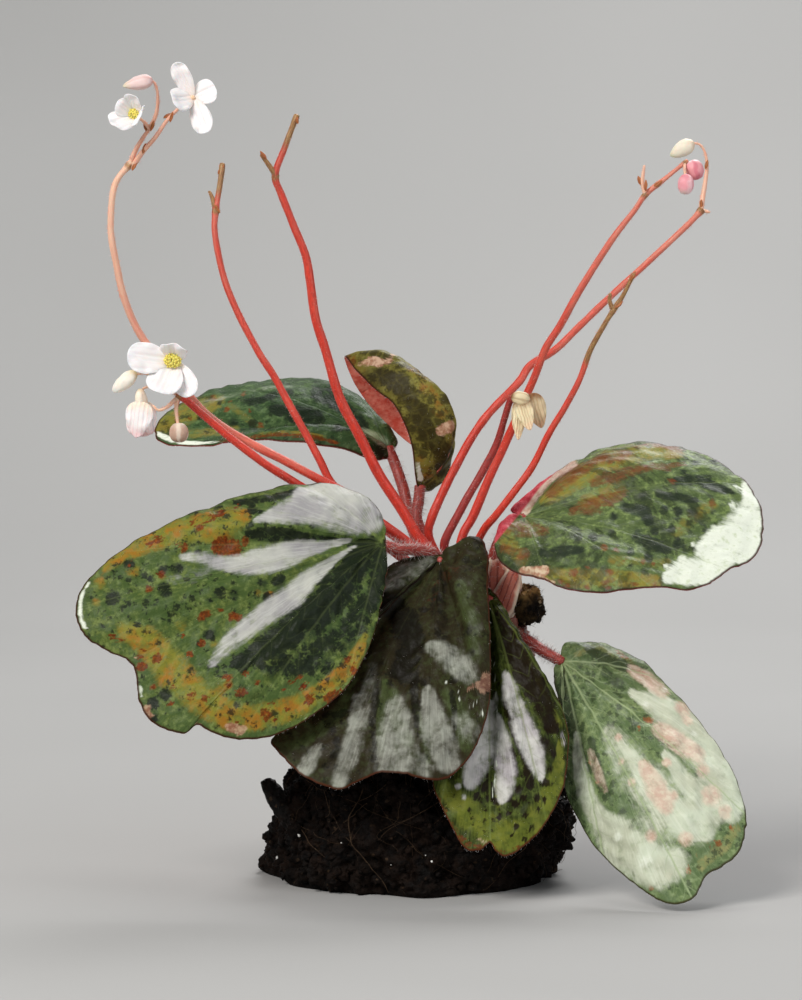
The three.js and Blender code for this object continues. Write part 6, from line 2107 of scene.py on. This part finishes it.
LEAVES = (
    Leaf(
        "leaf_1",
        joint=(-10.5, 83, -24),
        rim=(
            (-9.8, 84.3, -24, 0.5), (-10.2, 87.6, -22.5, 1), (-12.5, 92.6, -20.5, 2), (-20, 96.8, -18.5, 3),
            (-30, 97.8, -18, 3.5), (-41, 96, -19, 4.5), (-52.5, 92.4, -21, 5), (-65, 87.4, -24, 4.5),
            (-76.6, 80.6, -27, 2.5), (-84.5, 73.4, -30, 1.8), (-87.3, 66.6, -32, 3.5), (-85, 60, -34.5, 5),
            (-79.3, 56, -36, 4.5), (-73.8, 53.4, -37.5, 3.5), (-72, 49.5, -39, 2.5), (-71.3, 43.3, -41, 3),
            (-67.8, 38, -43, 4.5), (-60.5, 35.5, -44.5, 6), (-56.8, 37.6, -44, 7), (-53.3, 35.8, -45, 7.5),
            (-46.3, 34, -46, 6), (-37.5, 35, -46, 3.5), (-28.8, 39.5, -45, 2.5), (-20, 46.6, -42.5, 2),
            (-14.5, 55.8, -39, 1.5), (-11.3, 65.8, -34, 1), (-9.8, 76, -28, 0.5), (-9.7, 81.3, -25, 0.3),
        ),
        petiole=(
            (9, 71.5, -2.5), (6, 76, -6.2), (2.6, 79.6, -8.4), (-2, 81.2, -14.5), (-6.5, 81.5, -20.2),
            (-10.2, 82.6, -23.3),
        ),
        veins=(4, 6, 8, 10, 13, 17, 20, 23),
        finish=LEAF_FINISHES[0],
        marks=LEAF_1_MARKS,
    ),
    Leaf(
        "leaf_2",
        joint=(3.8, 79, -13),
        rim=(
            (3, 80, -12.6, 0), (-3, 79, -11, 1), (-9, 76.8, -12, 2), (-13.5, 70.5, -17, 2.5),
            (-18, 59, -24, 3), (-25.5, 46.5, -31, 3.5), (-33, 38.5, -36, 4), (-38.5, 33.8, -39, 3),
            (-35, 29.2, -41.5, 2), (-30, 24.6, -44, 3.5), (-22, 21.5, -46, 5), (-18, 22.7, -46, 4.5),
            (-13, 25, -46.5, 3), (-6.3, 25.6, -47.5, 3.5), (1.3, 23.8, -48, 5), (6.5, 24.8, -47.5, 5),
            (11.5, 30, -46, 3.5), (15, 38.3, -43, 3), (16.4, 46.3, -39.5, 3.5), (16.3, 58.8, -33, 3),
            (15.8, 71, -25, 2), (15.7, 80, -18, 1.5), (13.5, 84.6, -14, 1), (9.3, 83.3, -13, 0.5),
            (5.5, 81, -13, 0),
        ),
        petiole=((13, 65.5, -3), (10, 68, -9), (6.4, 72.5, -12.6), (3.8, 79, -13)),
        veins=(3, 5, 7, 10, 14, 17, 20),
        finish=LEAF_FINISHES[1],
        rim_hairs=150,
        marks=LEAF_2_MARKS,
    ),
    Leaf(
        "leaf_3",
        joint=(15.8, 69.5, -17),
        rim=(
            (15.3, 71, -17, 0), (14, 62, -20, 1), (11, 50, -28, 2), (7, 38, -34, 2.5), (3, 28, -38, 2.5),
            (2, 22.6, -40, 2), (4, 17.6, -41.5, 3), (7.3, 11, -43, 4), (10, 6.8, -44, 3.5),
            (13.5, 6.2, -44.5, 2), (16.2, 8, -44.5, 1), (18, 5.8, -45, 1.5), (20.8, 4.9, -45, 3),
            (25.4, 7.8, -44, 4.5), (30.4, 13.4, -42, 4), (34.2, 21.3, -39, 4), (35.9, 31.3, -35, 4),
            (34.7, 40.8, -31, 3), (30.2, 49.6, -26.5, 2.5), (24.2, 59, -21.5, 1.5), (20, 66.3, -18, 0.5),
            (17, 71, -17, 0),
        ),
        petiole=((17, 63, -4), (16.5, 62.5, -11), (16, 65.5, -15), (15.8, 69.5, -17)),
        veins=(3, 6, 10, 14, 17),
        finish=LEAF_FINISHES[2],
        rim_hairs=150,
        marks=LEAF_3_MARKS,
    ),
    Leaf(
        "leaf_4",
        joint=(34.3, 53.2, -10),
        rim=(
            (33.3, 53.8, -10, 0), (32.3, 50.6, -11, 0.5), (33, 43.5, -15, 1.5), (34.8, 33.5, -21, 2.5),
            (35, 22.5, -27, 3.5), (37.8, 14.6, -31, 3), (44.4, 4.8, -39, 3), (53.2, -2.8, -48, 4),
            (60.5, -7, -53, 4), (66.8, -6, -53, 3), (70.2, -0.2, -50, 3), (74.6, 2.4, -47, 4),
            (78.7, 6.3, -43, 4.5), (80.2, 15, -36, 4), (77.4, 25, -27, 3.5), (70, 36.6, -21, 3.5),
            (60.3, 48, -14.5, 3), (51.3, 55.2, -10, 2.5), (42.5, 58.3, -7.5, 1.5), (36, 57.6, -8, 1),
            (34, 55.2, -9.3, 0),
        ),
        petiole=((19, 60.5, -2), (24.3, 59.3, -5), (29.5, 56, -8.5), (34.3, 53.2, -10)),
        veins=(3, 6, 9, 13, 16),
        finish=LEAF_FINISHES[3],
        marks=LEAF_4_MARKS,
    ),
    Leaf(
        "leaf_5",
        joint=(25, 89.3, -11),
        rim=(
            (23.4, 89.5, -11, 0), (20, 88.8, -14, 1), (17.6, 85, -18, 1.5), (18, 79.6, -23, 2),
            (22.3, 75.8, -28, 2.5), (30, 73.8, -33, 3), (34.3, 71.8, -36, 3), (43.8, 70.6, -39, 4),
            (56.3, 72, -41, 4.5), (66.3, 71.4, -42, 4), (71.8, 73.4, -41, 3.5), (75.5, 76, -39, 4),
            (83, 80.4, -34, 4.5), (84.3, 90, -26, 4), (80.5, 97.8, -18, 4), (71.8, 104, -10, 4.5),
            (59.3, 107.8, -3, 4), (48.5, 107.6, 0, 3), (41, 105, 0, 2), (35.5, 102.5, -2, 1),
            (30.8, 99.4, -4, 0.5), (25.6, 95.4, -7, 0.3), (21.4, 91.4, -9.5, 0),
        ),
        petiole=((17, 69, -1), (17.2, 78, -4.5), (18.7, 84, -7.5), (21.5, 87.6, -9.2), (25, 89.3, -11)),
        veins=(5, 8, 11, 14, 17, 20),
        finish=LEAF_FINISHES[4],
        relief=0.7,
        marks=LEAF_5_MARKS,
    ),
    Leaf(
        "leaf_6",
        joint=(-9.3, 106.8, 30),
        rim=(
            (-7.8, 106.5, 31, 0), (-7, 109, 34, 1), (-9.5, 112.8, 40, 2), (-14, 117, 48, 3),
            (-20, 121, 55, 4), (-29, 123.8, 60, 5), (-41, 123.4, 61, 5), (-54, 121, 57, 5),
            (-64.5, 115.5, 49, 4), (-67.3, 110.5, 42, 3), (-65, 107.8, 36, 3), (-56, 107.2, 30, 4),
            (-45, 108.8, 24, 5), (-37, 108.6, 21, 5), (-28, 107.8, 19, 4), (-20, 106.4, 20, 3),
            (-13.5, 104, 24, 2), (-9.7, 104.2, 28, 1),
        ),
        petiole=(
            (7, 69, 17), (0.5, 79, 19.5), (-3.8, 89, 23), (-5.2, 96, 26), (-7.4, 102.6, 28.6),
            (-9.3, 106.8, 30),
        ),
        veins=(4, 7, 9, 12, 15),
        finish=LEAF_FINISHES[5],
        relief=0.4,
        marks=LEAF_6_MARKS,
    ),
    Leaf(
        "leaf_7",
        joint=(-1.2, 97.3, 18),
        rim=(
            (-0.6, 96.3, 19, 1), (3, 97.5, 23, 4), (2, 102.5, 29, 7), (-2, 106.5, 33, 11),
            (-6.5, 110.3, 35, 12.8), (-11.5, 115, 35, 15.2), (-16, 120.6, 33, 17.5), (-19.4, 127, 28, 16),
            (-19.8, 129.6, 24, 15), (-17, 126, 19, 15.5), (-12.5, 121.6, 14.5, 16), (-8, 118, 12, 13.5),
            (-5, 112.6, 11, 11.8), (-3.2, 107, 12, 9.5), (-2.6, 102, 14, 6.5), (-2.1, 98, 16.5, 2.5),
        ),
        petiole=((6.5, 71.5, 13.6), (1.4, 80, 14.4), (-2, 88.5, 15.7), (-1.6, 93.5, 17.3), (-1.2, 97.3, 18)),
        veins=(3, 6, 8, 11),
        rise=(0.82, 0.52, -0.25),
        fullness=0.5,
        finish=LEAF_FINISHES[6],
        relief=0.5,
        marks=LEAF_7_MARKS,
    ),
)

FLOWERS = (
    Flower(
        "flower_1", Pod((-58, 194.3, -30.1), (0, 0, 1), (1.8, 1.5, 1.5)), face=(-0.25, 0.15, -1),
        petals=(
            Petal((-0.44, 0.88, -0.15), 9.5, 4.8),
            Petal((-1, -0.25, -0.75), 6.6, 6.8),
            Petal((1, 0.42, 0.1), 5.9, 6.8),
            Petal((0.36, -0.9, -0.25), 9.9, 5.7),
        ),
    ),
    Flower(
        "flower_2", Pod((-72.4, 190, -32), (0, 0, 1), (2.6, 2.4, 2.4)), face=(-0.35, 0.2, -0.9),
        petals=(
            Petal((-0.1, 1, -0.8), 6.6, 4.6),
            Petal((-0.95, 0.55, -0.6), 6, 5.2),
            Petal((-0.8, -0.45, -0.6), 7.6, 7),
            Petal((0.5, -0.3, -1), 4.6, 6.4),
        ),
        stamens=2.4,
    ),
    Flower(
        "flower_3", Pod((-62.8, 128.4, -21.5), (0, 0, 1), (3, 2.8, 2.8)), face=(-0.1, 0.3, -1),
        petals=(
            Petal((-1, 0.1, -0.2), 11.6, 8.6),
            Petal((-0.4, -1, -0.55), 10, 9.6),
            Petal((0.5, -0.95, -0.3), 10.2, 6.4),
            Petal((0.05, 1, -0.9), 6.2, 7.2),
        ),
        stamens=3.2,
    ),
    Flower(
        "flower_4", Pod((-71, 118.8, -20.5), (-0.1, 1, 0), (5.6, 3.2, 3)), face=(0.1, 0, 1),
        root_shift=(0.4, -0.6, 0),
        petals=(
            Petal((-0.14, -1, -0.12), 8.8, 7, base=(-71, 118.4, -22), cup=1.2, pointed=True),
            Petal((-0.1, -1, 0.3), 8.4, 7.6, face=(0, 0, -1), cup=1.2),
            Petal((-0.5, -1, 0), 7.6, 6.4, face=(0.6, -0.3, 1), cup=1, pointed=True),
            Petal((0.35, -1, 0), 8, 6.2, face=(-0.6, -0.3, 1), cup=1, pointed=True),
        ),
    ),
    Flower(
        "dry_capsule", Pod((24, 119.2, -10), (1, -0.2, 0), (5, 3.6, 3.6)), face=(0, -0.3, -1),
        petals=(
            Petal((-0.08, -1, -0.2), 10.8, 3.4, pointed=True),
            Petal((0.28, -1, -0.4), 9.2, 4.4, pointed=True),
            Petal((-0.2, -1, 0.35), 8.2, 3.4, pointed=True),
            Petal((0.3, -1, 0.2), 9.2, 5.4, base=(26.6, 120.4, -10.6), cup=-1, pointed=True),
        ),
    ),
)

BUDS = (
    Bud("bud_1", Pod((-71.8, 198, -34.1), (1, 0.22, 0), (7.4, 3.8, 3.4)), blunt=0.95, lean=1.35),
    Bud("bud_2", Pod((-75.1, 123.3, -21.6), (0.78, 0.66, 0), (7.6, 3.9, 3.6)), blunt=1.0, lean=1.1),
    Bud("bud_3", Pod((-61.5, 110.6, -20.5), (0, 1, 0), (4.8, 5.2, 4.8))),
    Bud("bud_4", Pod((64.3, 181.5, 21.6), (0.88, 0.5, 0), (7, 4.4, 4.2)), blunt=1.0, lean=1.2),
    Bud("bud_5", Pod((67.4, 176.3, -12.7), (-0.3, 1, 0), (5, 4.8, 4.4))),
    Bud("bud_6", Pod((65.2, 172.7, -16.8), (0.1, 1, 0), (5, 4.4, 4.2))),
)

STALKS = (
    Stalk(
        "stalk_1",
        path=(
            (6.5, 74.5, 1.2), (2, 77.8, -1.2), (-2, 80.9, -3), (-5.3, 83.8, -4), (-11, 88, -7),
            (-20, 95.3, -11), (-33.3, 102.6, -12), (-47.2, 109.9, -12.5), (-55.4, 116, -13),
            (-64.4, 126.8, -14), (-70.8, 134.6, -15.7), (-75, 143.6, -19), (-77.8, 156, -22.7),
            (-78.5, 164, -24.3), (-77.6, 172.6, -26), (-73.4, 178.2, -26.9),
        ),
        radii=(1.58, 1.34, 1.21, 1.12, 0.99, 0.84),
        fade=1.05,
        branches=(
            Branch((
                (-73.8, 177.2, -26.7), (-72.4, 181, -27.6), (-70.4, 184.4, -28.3), (-68.6, 187, -28.6),
            ), (0.78, 0.7, 0.61)),
            Branch((
                (-68.8, 186.4, -28.5), (-67.2, 190.4, -30), (-66.7, 194.4, -32), (-67.2, 197.4, -33.4),
                (-68.4, 198.8, -33.9), (-70, 198.6, -34.1),
            ), (0.61, 0.49, 0.41)),
            Branch(((-68.8, 186.4, -28.6), (-70.2, 188.2, -29.6), (-71.6, 189.4, -30.7)), (0.57, 0.45)),
            Branch((
                (-73.4, 176.8, -26.8), (-70.6, 180.8, -28.8), (-67.4, 184.6, -29.6), (-64.6, 188.6, -29),
                (-61.6, 191.6, -28.7), (-58.8, 193.6, -28.6),
            ), (0.78, 0.7, 0.61, 0.53)),
        ),
        tips=0.72,
        bracts=(
            (-68.2, 187.2, -29.8, 0.3, 1, 0), (-69.6, 186.6, -28.6, -0.6, 1, 0),
            (-64.2, 189.9, -28.6, 0.9, 0.5, 0), (-63.4, 189.4, -29.4, 0.3, 1, -0.2),
            (-70.2, 181.6, -29.2, 0.3, 1, 0), (-72.6, 177.4, -27.8, 0.5, 1, 0),
        ),
    ),
    Stalk(
        "stalk_2",
        path=(
            (5, 72, -1.5), (-1, 76, -4.5), (-10, 82.4, -7.5), (-20, 89.8, -9), (-30.5, 97, -12.5),
            (-38.8, 102, -16), (-49, 109.6, -17.5), (-56.8, 116.2, -18), (-61.5, 120.6, -18.5),
        ),
        radii=(1.49, 1.22, 1.14, 0.99),
        fade=0.05,
        branches=(
            Branch(((-61, 120.2, -18.5), (-61.6, 124.4, -19), (-62.6, 128, -20.5)), (0.74, 0.57)),
            Branch((
                (-61.4, 119.8, -18.5), (-66, 123.4, -19), (-70, 125.4, -20.4), (-73.4, 124.8, -21.4),
            ), (0.57, 0.41)),
            Branch(((-61.4, 119.8, -18.5), (-66.5, 122.6, -19.6), (-70.6, 121.6, -20.4)), (0.57, 0.41)),
            Branch((
                (-61.8, 119.4, -18.5), (-64.4, 117, -19.5), (-66.6, 116.2, -20), (-67.8, 117.4, -20),
            ), (0.66, 0.41)),
            Branch(((-61.8, 119.6, -18.5), (-62.2, 116.4, -19.5), (-61.7, 112, -20.5)), (0.66, 0.49)),
        ),
        bracts=((-61.8, 118, -19, -0.1, -1, -0.2),),
    ),
    Stalk(
        "stalk_3",
        path=(
            (6, 72.5, 8), (0, 79, 6.8), (-10, 86.4, 7), (-21.8, 96.4, 6.5), (-26.3, 103.8, 7.3),
            (-30.8, 111.8, 8.9), (-36.6, 122.8, 10.6), (-42, 131.3, 11.3), (-48, 143.3, 13.1),
            (-50.8, 151.3, 14.3), (-52.4, 159.8, 15), (-52.5, 164.5, 15.4), (-51.4, 172, 16.4),
            (-50.6, 177.8, 17.6),
        ),
        radii=(1.4, 1.15, 1.06, 0.96, 0.76),
        fade=0.3,
        branches=(
            Branch(((-52.4, 166, 15.7), (-53.2, 169.2, 16), (-54, 171, 16.2)), (0.9, 0.57)),
        ),
        bracts=((-51, 176.4, 16.8, 0.6, 1, 0), (-52, 166.6, 14.8, -0.7, 1, 0)),
        spent=0.93,
    ),
    Stalk(
        "stalk_4",
        path=(
            (7.2, 75, 4.8), (1.7, 80.6, 2.7), (-1.8, 84.8, 2.4), (-5.3, 90.5, 2), (-11.5, 100.3, 1),
            (-17, 110.8, -1), (-21.5, 120, -2.8), (-24.8, 131, -4.8), (-27.3, 139, -6.1),
            (-28.8, 148.5, -7.3), (-30, 155.3, -8.3), (-33, 162.8, -9.6), (-36, 170.3, -10.2),
            (-37.4, 175, -10.7), (-35, 182, -10.8), (-32, 190, -11),
        ),
        radii=(1.58, 1.52, 1.38, 1.24, 1.07, 0.76),
        fade=0.2,
        branches=(
            Branch(((-37, 174.4, -10.6), (-38.8, 177.2, -11.2), (-41, 180.2, -11.7)), (0.9, 0.66)),
        ),
        bracts=((-40.4, 180, -12.1, -0.8, 1, 0), (-32, 189, -11.5, -0.2, 1, 0)),
        spent=0.93,
    ),
    Stalk(
        "stalk_5",
        path=(
            (8.8, 73, 11.3), (3.6, 79.2, 10.6), (0.9, 84.6, 10.4), (1.6, 89.2, 10.2), (4, 94.8, 10.5),
            (9, 105, 11), (13.3, 111.8, 11), (18, 117.8, 11.5), (23.5, 123.3, 12.8), (26.3, 127.4, 14.3),
            (32.5, 131.2, 15.5), (38.8, 137.4, 16.4), (49, 147, 18.4), (59.8, 157, 19.5),
            (65.6, 162.4, 19.7), (69.2, 166.4, 20.4),
        ),
        radii=(1.4, 1.24, 1.14, 0.96, 0.84),
        fade=0.45,
        tips=0.8,
        branches=(
            Branch((
                (68.9, 166, 20.3), (69.8, 171.8, 21.6), (70.5, 177.4, 21.8), (69.9, 181, 21.8),
                (68.6, 182.7, 21.6), (66.4, 182.9, 21.6),
            ), (0.82, 0.74, 0.49, 0.41)),
            Branch(((69, 166.2, 20.4), (71.3, 165.7, 20.2)), (0.74, 0.49)),
        ),
        bracts=((69, 167.6, 19.8, 0.1, 1, 0), (70.4, 177.6, 21, 0.3, 1, 0)),
    ),
    Stalk(
        "stalk_6",
        path=(
            (11.5, 74.5, 3), (9, 81, 4.2), (9.5, 85.3, 4.5), (12, 89.8, 4.5), (15.6, 98.3, 4),
            (19.8, 107.5, 3), (23.5, 116, 0.3), (27, 123.8, -2.1), (30, 131.3, -4.5), (33.8, 137.5, -6.2),
            (38.8, 146.3, -8.7), (44.8, 155.8, -10.8), (48, 160.5, -11.9), (52.3, 166, -13),
            (55.4, 170.4, -14), (60.4, 174.4, -14), (65.6, 178.6, -13),
        ),
        radii=(1.4, 1.24, 1.1, 0.96, 0.53),
        fade=0.5,
        tips=0.8,
        branches=(
            Branch(((55.2, 170, -14), (54.4, 173.4, -14.4), (54.9, 177.4, -14.9)), (0.74, 0.49)),
            Branch(((65, 178, -13.1), (65, 176, -15.7), (65.2, 174, -16.8)), (0.49, 0.41)),
        ),
        bracts=(
            (55.2, 172.4, -15.3, 0, 1, 0), (58.2, 172.8, -14.7, 0.8, 0.6, 0),
            (53.6, 173.6, -14.4, -0.3, 1, 0),
        ),
    ),
    Stalk(
        "stalk_7",
        path=(
            (10, 75, -0.5), (6, 79.6, -1.8), (4.9, 83.4, -3), (9.5, 92.3, -4), (14.3, 100.8, -4.5),
            (18, 108, -5.5), (19.8, 114, -7), (21.2, 118.4, -8.6), (22.4, 119.4, -9.4),
        ),
        radii=(1.3, 1.14, 0.91),
        fade=0.1,
        tips=0.3,
    ),
    Stalk(
        "stalk_8",
        path=(
            (13, 73.5, -3), (12.4, 80.5, -5), (14.6, 86.2, -8.5), (18, 90.4, -11.5), (22.8, 96.4, -13),
            (27, 102.5, -13.5), (31.3, 110.8, -15.2), (35, 117, -16.9), (38.5, 123.8, -18.6),
            (41.3, 131.3, -20.4), (44.8, 137.5, -21.9), (47.4, 141.6, -22.9), (49.6, 145, -23.8),
            (52.3, 150.3, -25.1),
        ),
        radii=(1.3, 1.06, 0.93, 0.8, 0.53),
        fade=0.3,
        branches=(
            Branch(((47, 141, -22.8), (46.2, 143.6, -23.4), (46.4, 145.4, -23.9)), (0.74, 0.57)),
        ),
        bracts=((48.4, 142.6, -23.8, 1, 0.9, 0), (52, 149.8, -25.4, 0.6, 1, 0)),
        spent=0.72,
    ),
)


class Begonia:
    """The whole plant."""

    def __init__(self) -> None:
        """Makes the shared effects and finishes."""
        self.effects = Effects()
        self.white_hairs = Shells()
        self.red_hairs = Shells()

    def build(self) -> None:
        """Builds every part and reports it."""
        effects = self.effects
        petiole = StemFinish("petiole", "b04a40", "7e2e28", "c87a6c", "8a5a3a").make(effects)
        for leaf in LEAVES:
            leaf.build(effects, self.white_hairs, petiole)
        fresh = StemFinish("stalk", "da3a24", "b22a1a", "f4c6aa").make(effects)
        dull = StemFinish("old stalk", "a8322b", "7a211e", "c8685a").make(effects)
        bract = StemFinish("bract", "bc7238", "86441e", "d6a86c").make(effects)
        for stalk in STALKS:
            stalk.build(dull if stalk.name == "stalk_7" else fresh, bract, self.red_hairs)
        self._flowers()
        Crown().build(
            StemFinish("rhizome", "9a5a48", "5a2a22", "b8866c", "a58060").make(effects),
            PetalFinish(
                "stipule", "b85a48", "cc7c68", "b4503e", "7a2820", 5.0, 0.65, rim="f0dcc4"
            ).make(effects),
            SoilFinish("fibre", "0d0a07", "8e7245", "c8b694", 0.04, mixed=0.2).make(effects),
            self.white_hairs,
        )
        RootBall().build(
            SoilFinish("peat", "060403", "1c120c", "54412f", 0.02).make(effects),
            SoilFinish("root", "1b130e", "4a3a2b", "6f5d4a", 0.05).make(effects),
            SoilFinish("perlite", "d8d6d0", "f2f1ec", "b7b0a4", 0.15).make(effects),
            SoilFinish("bark", "0c0a08", "221a15", "4a3a2c", 0.04, gloss=0.6).make(effects),
        )
        self.white_hairs.build("leaf_hairs", HairFinish("white", "cfc6c0", "f4efea").make(), "petiole")
        self.red_hairs.build("stalk_hairs", HairFinish("pink", "e08a78", "f3cfc4").make(), "stalk")

    def _flowers(self) -> None:
        """The flowers, their hearts, the buds and the dry capsule."""
        effects = self.effects
        yellow = PetalFinish("stamen", "f0e070", "f4ea88", "f8f4b0", "e6d054", 1.0, 0.2).make(effects)
        white = PetalFinish("white", "efdfd5", "efebea", "f0edee", "e2cfd6", 7.0, 0.16).make(effects)
        rose = PetalFinish("rose", "f3e4cf", "f7f0ee", "f0cccc", "e0aab0", 7.0, 0.25).make(effects)
        ovary = PetalFinish("ovary", "f2e6d0", "f4e8d6", "e2cfa4", "dcb8a0", 3.0, 0.4).make(effects)
        tan = PetalFinish("tan heart", "ecc8a4", "f0d8c0", "f4e4d4", "cf9a72", 5.0, 0.3).make(effects)
        # The brown at the tepals' base is partly their own colour and partly painted shade between them.
        husk = PetalFinish("husk", "80552e", "e6d6b0", "e6c6a4", "9a7240", 6.0, 0.4, 0.6).make(effects)
        finish = {
            "flower_2": (white, yellow, "petal"), "flower_3": (white, yellow, "petal"),
            "flower_4": (rose, ovary, "petal"), "dry_capsule": (husk, husk, "husk"),
        }
        for flower in FLOWERS:
            skin, heart, slot = finish.get(flower.name, (white, tan, "petal"))
            flower.build(skin, heart, yellow, slot, 0.3 if slot == "husk" else 0.22)
        tones = {
            "bud_1": ("e6dcbc", "e9cfcb", "dbaaa4", "cc928a", 5.0, 0.25),
            "bud_2": ("fbf6f0", "f6efe2", "d9c68e", "d8c8a0", 5.0, 0.15),
            "bud_3": ("ac846c", "c09e8a", "e8dccc", "f0e2d0", 4.0, 0.6),
            "bud_4": ("e4e6bf", "f2e8d4", "ecd0b4", "d8b89c", 4.0, 0.2),
            "bud_5": ("d9707c", "eba0a6", "f6dcdc", "c9506a", 4.0, 0.45),
            "bud_6": ("f6dcd8", "eba0a8", "d9727e", "f8dfe0", 3.0, 0.4),
        }
        for bud in BUDS:
            bud.build(PetalFinish(bud.name, *tones[bud.name]).make(effects))


def main() -> None:
    """Builds the plant over its frame, then the studio."""
    logging.basicConfig(level=logging.INFO, format="%(message)s")
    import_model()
    Begonia().build()
    Studio().build()


if __name__ == "__main__":
    main()
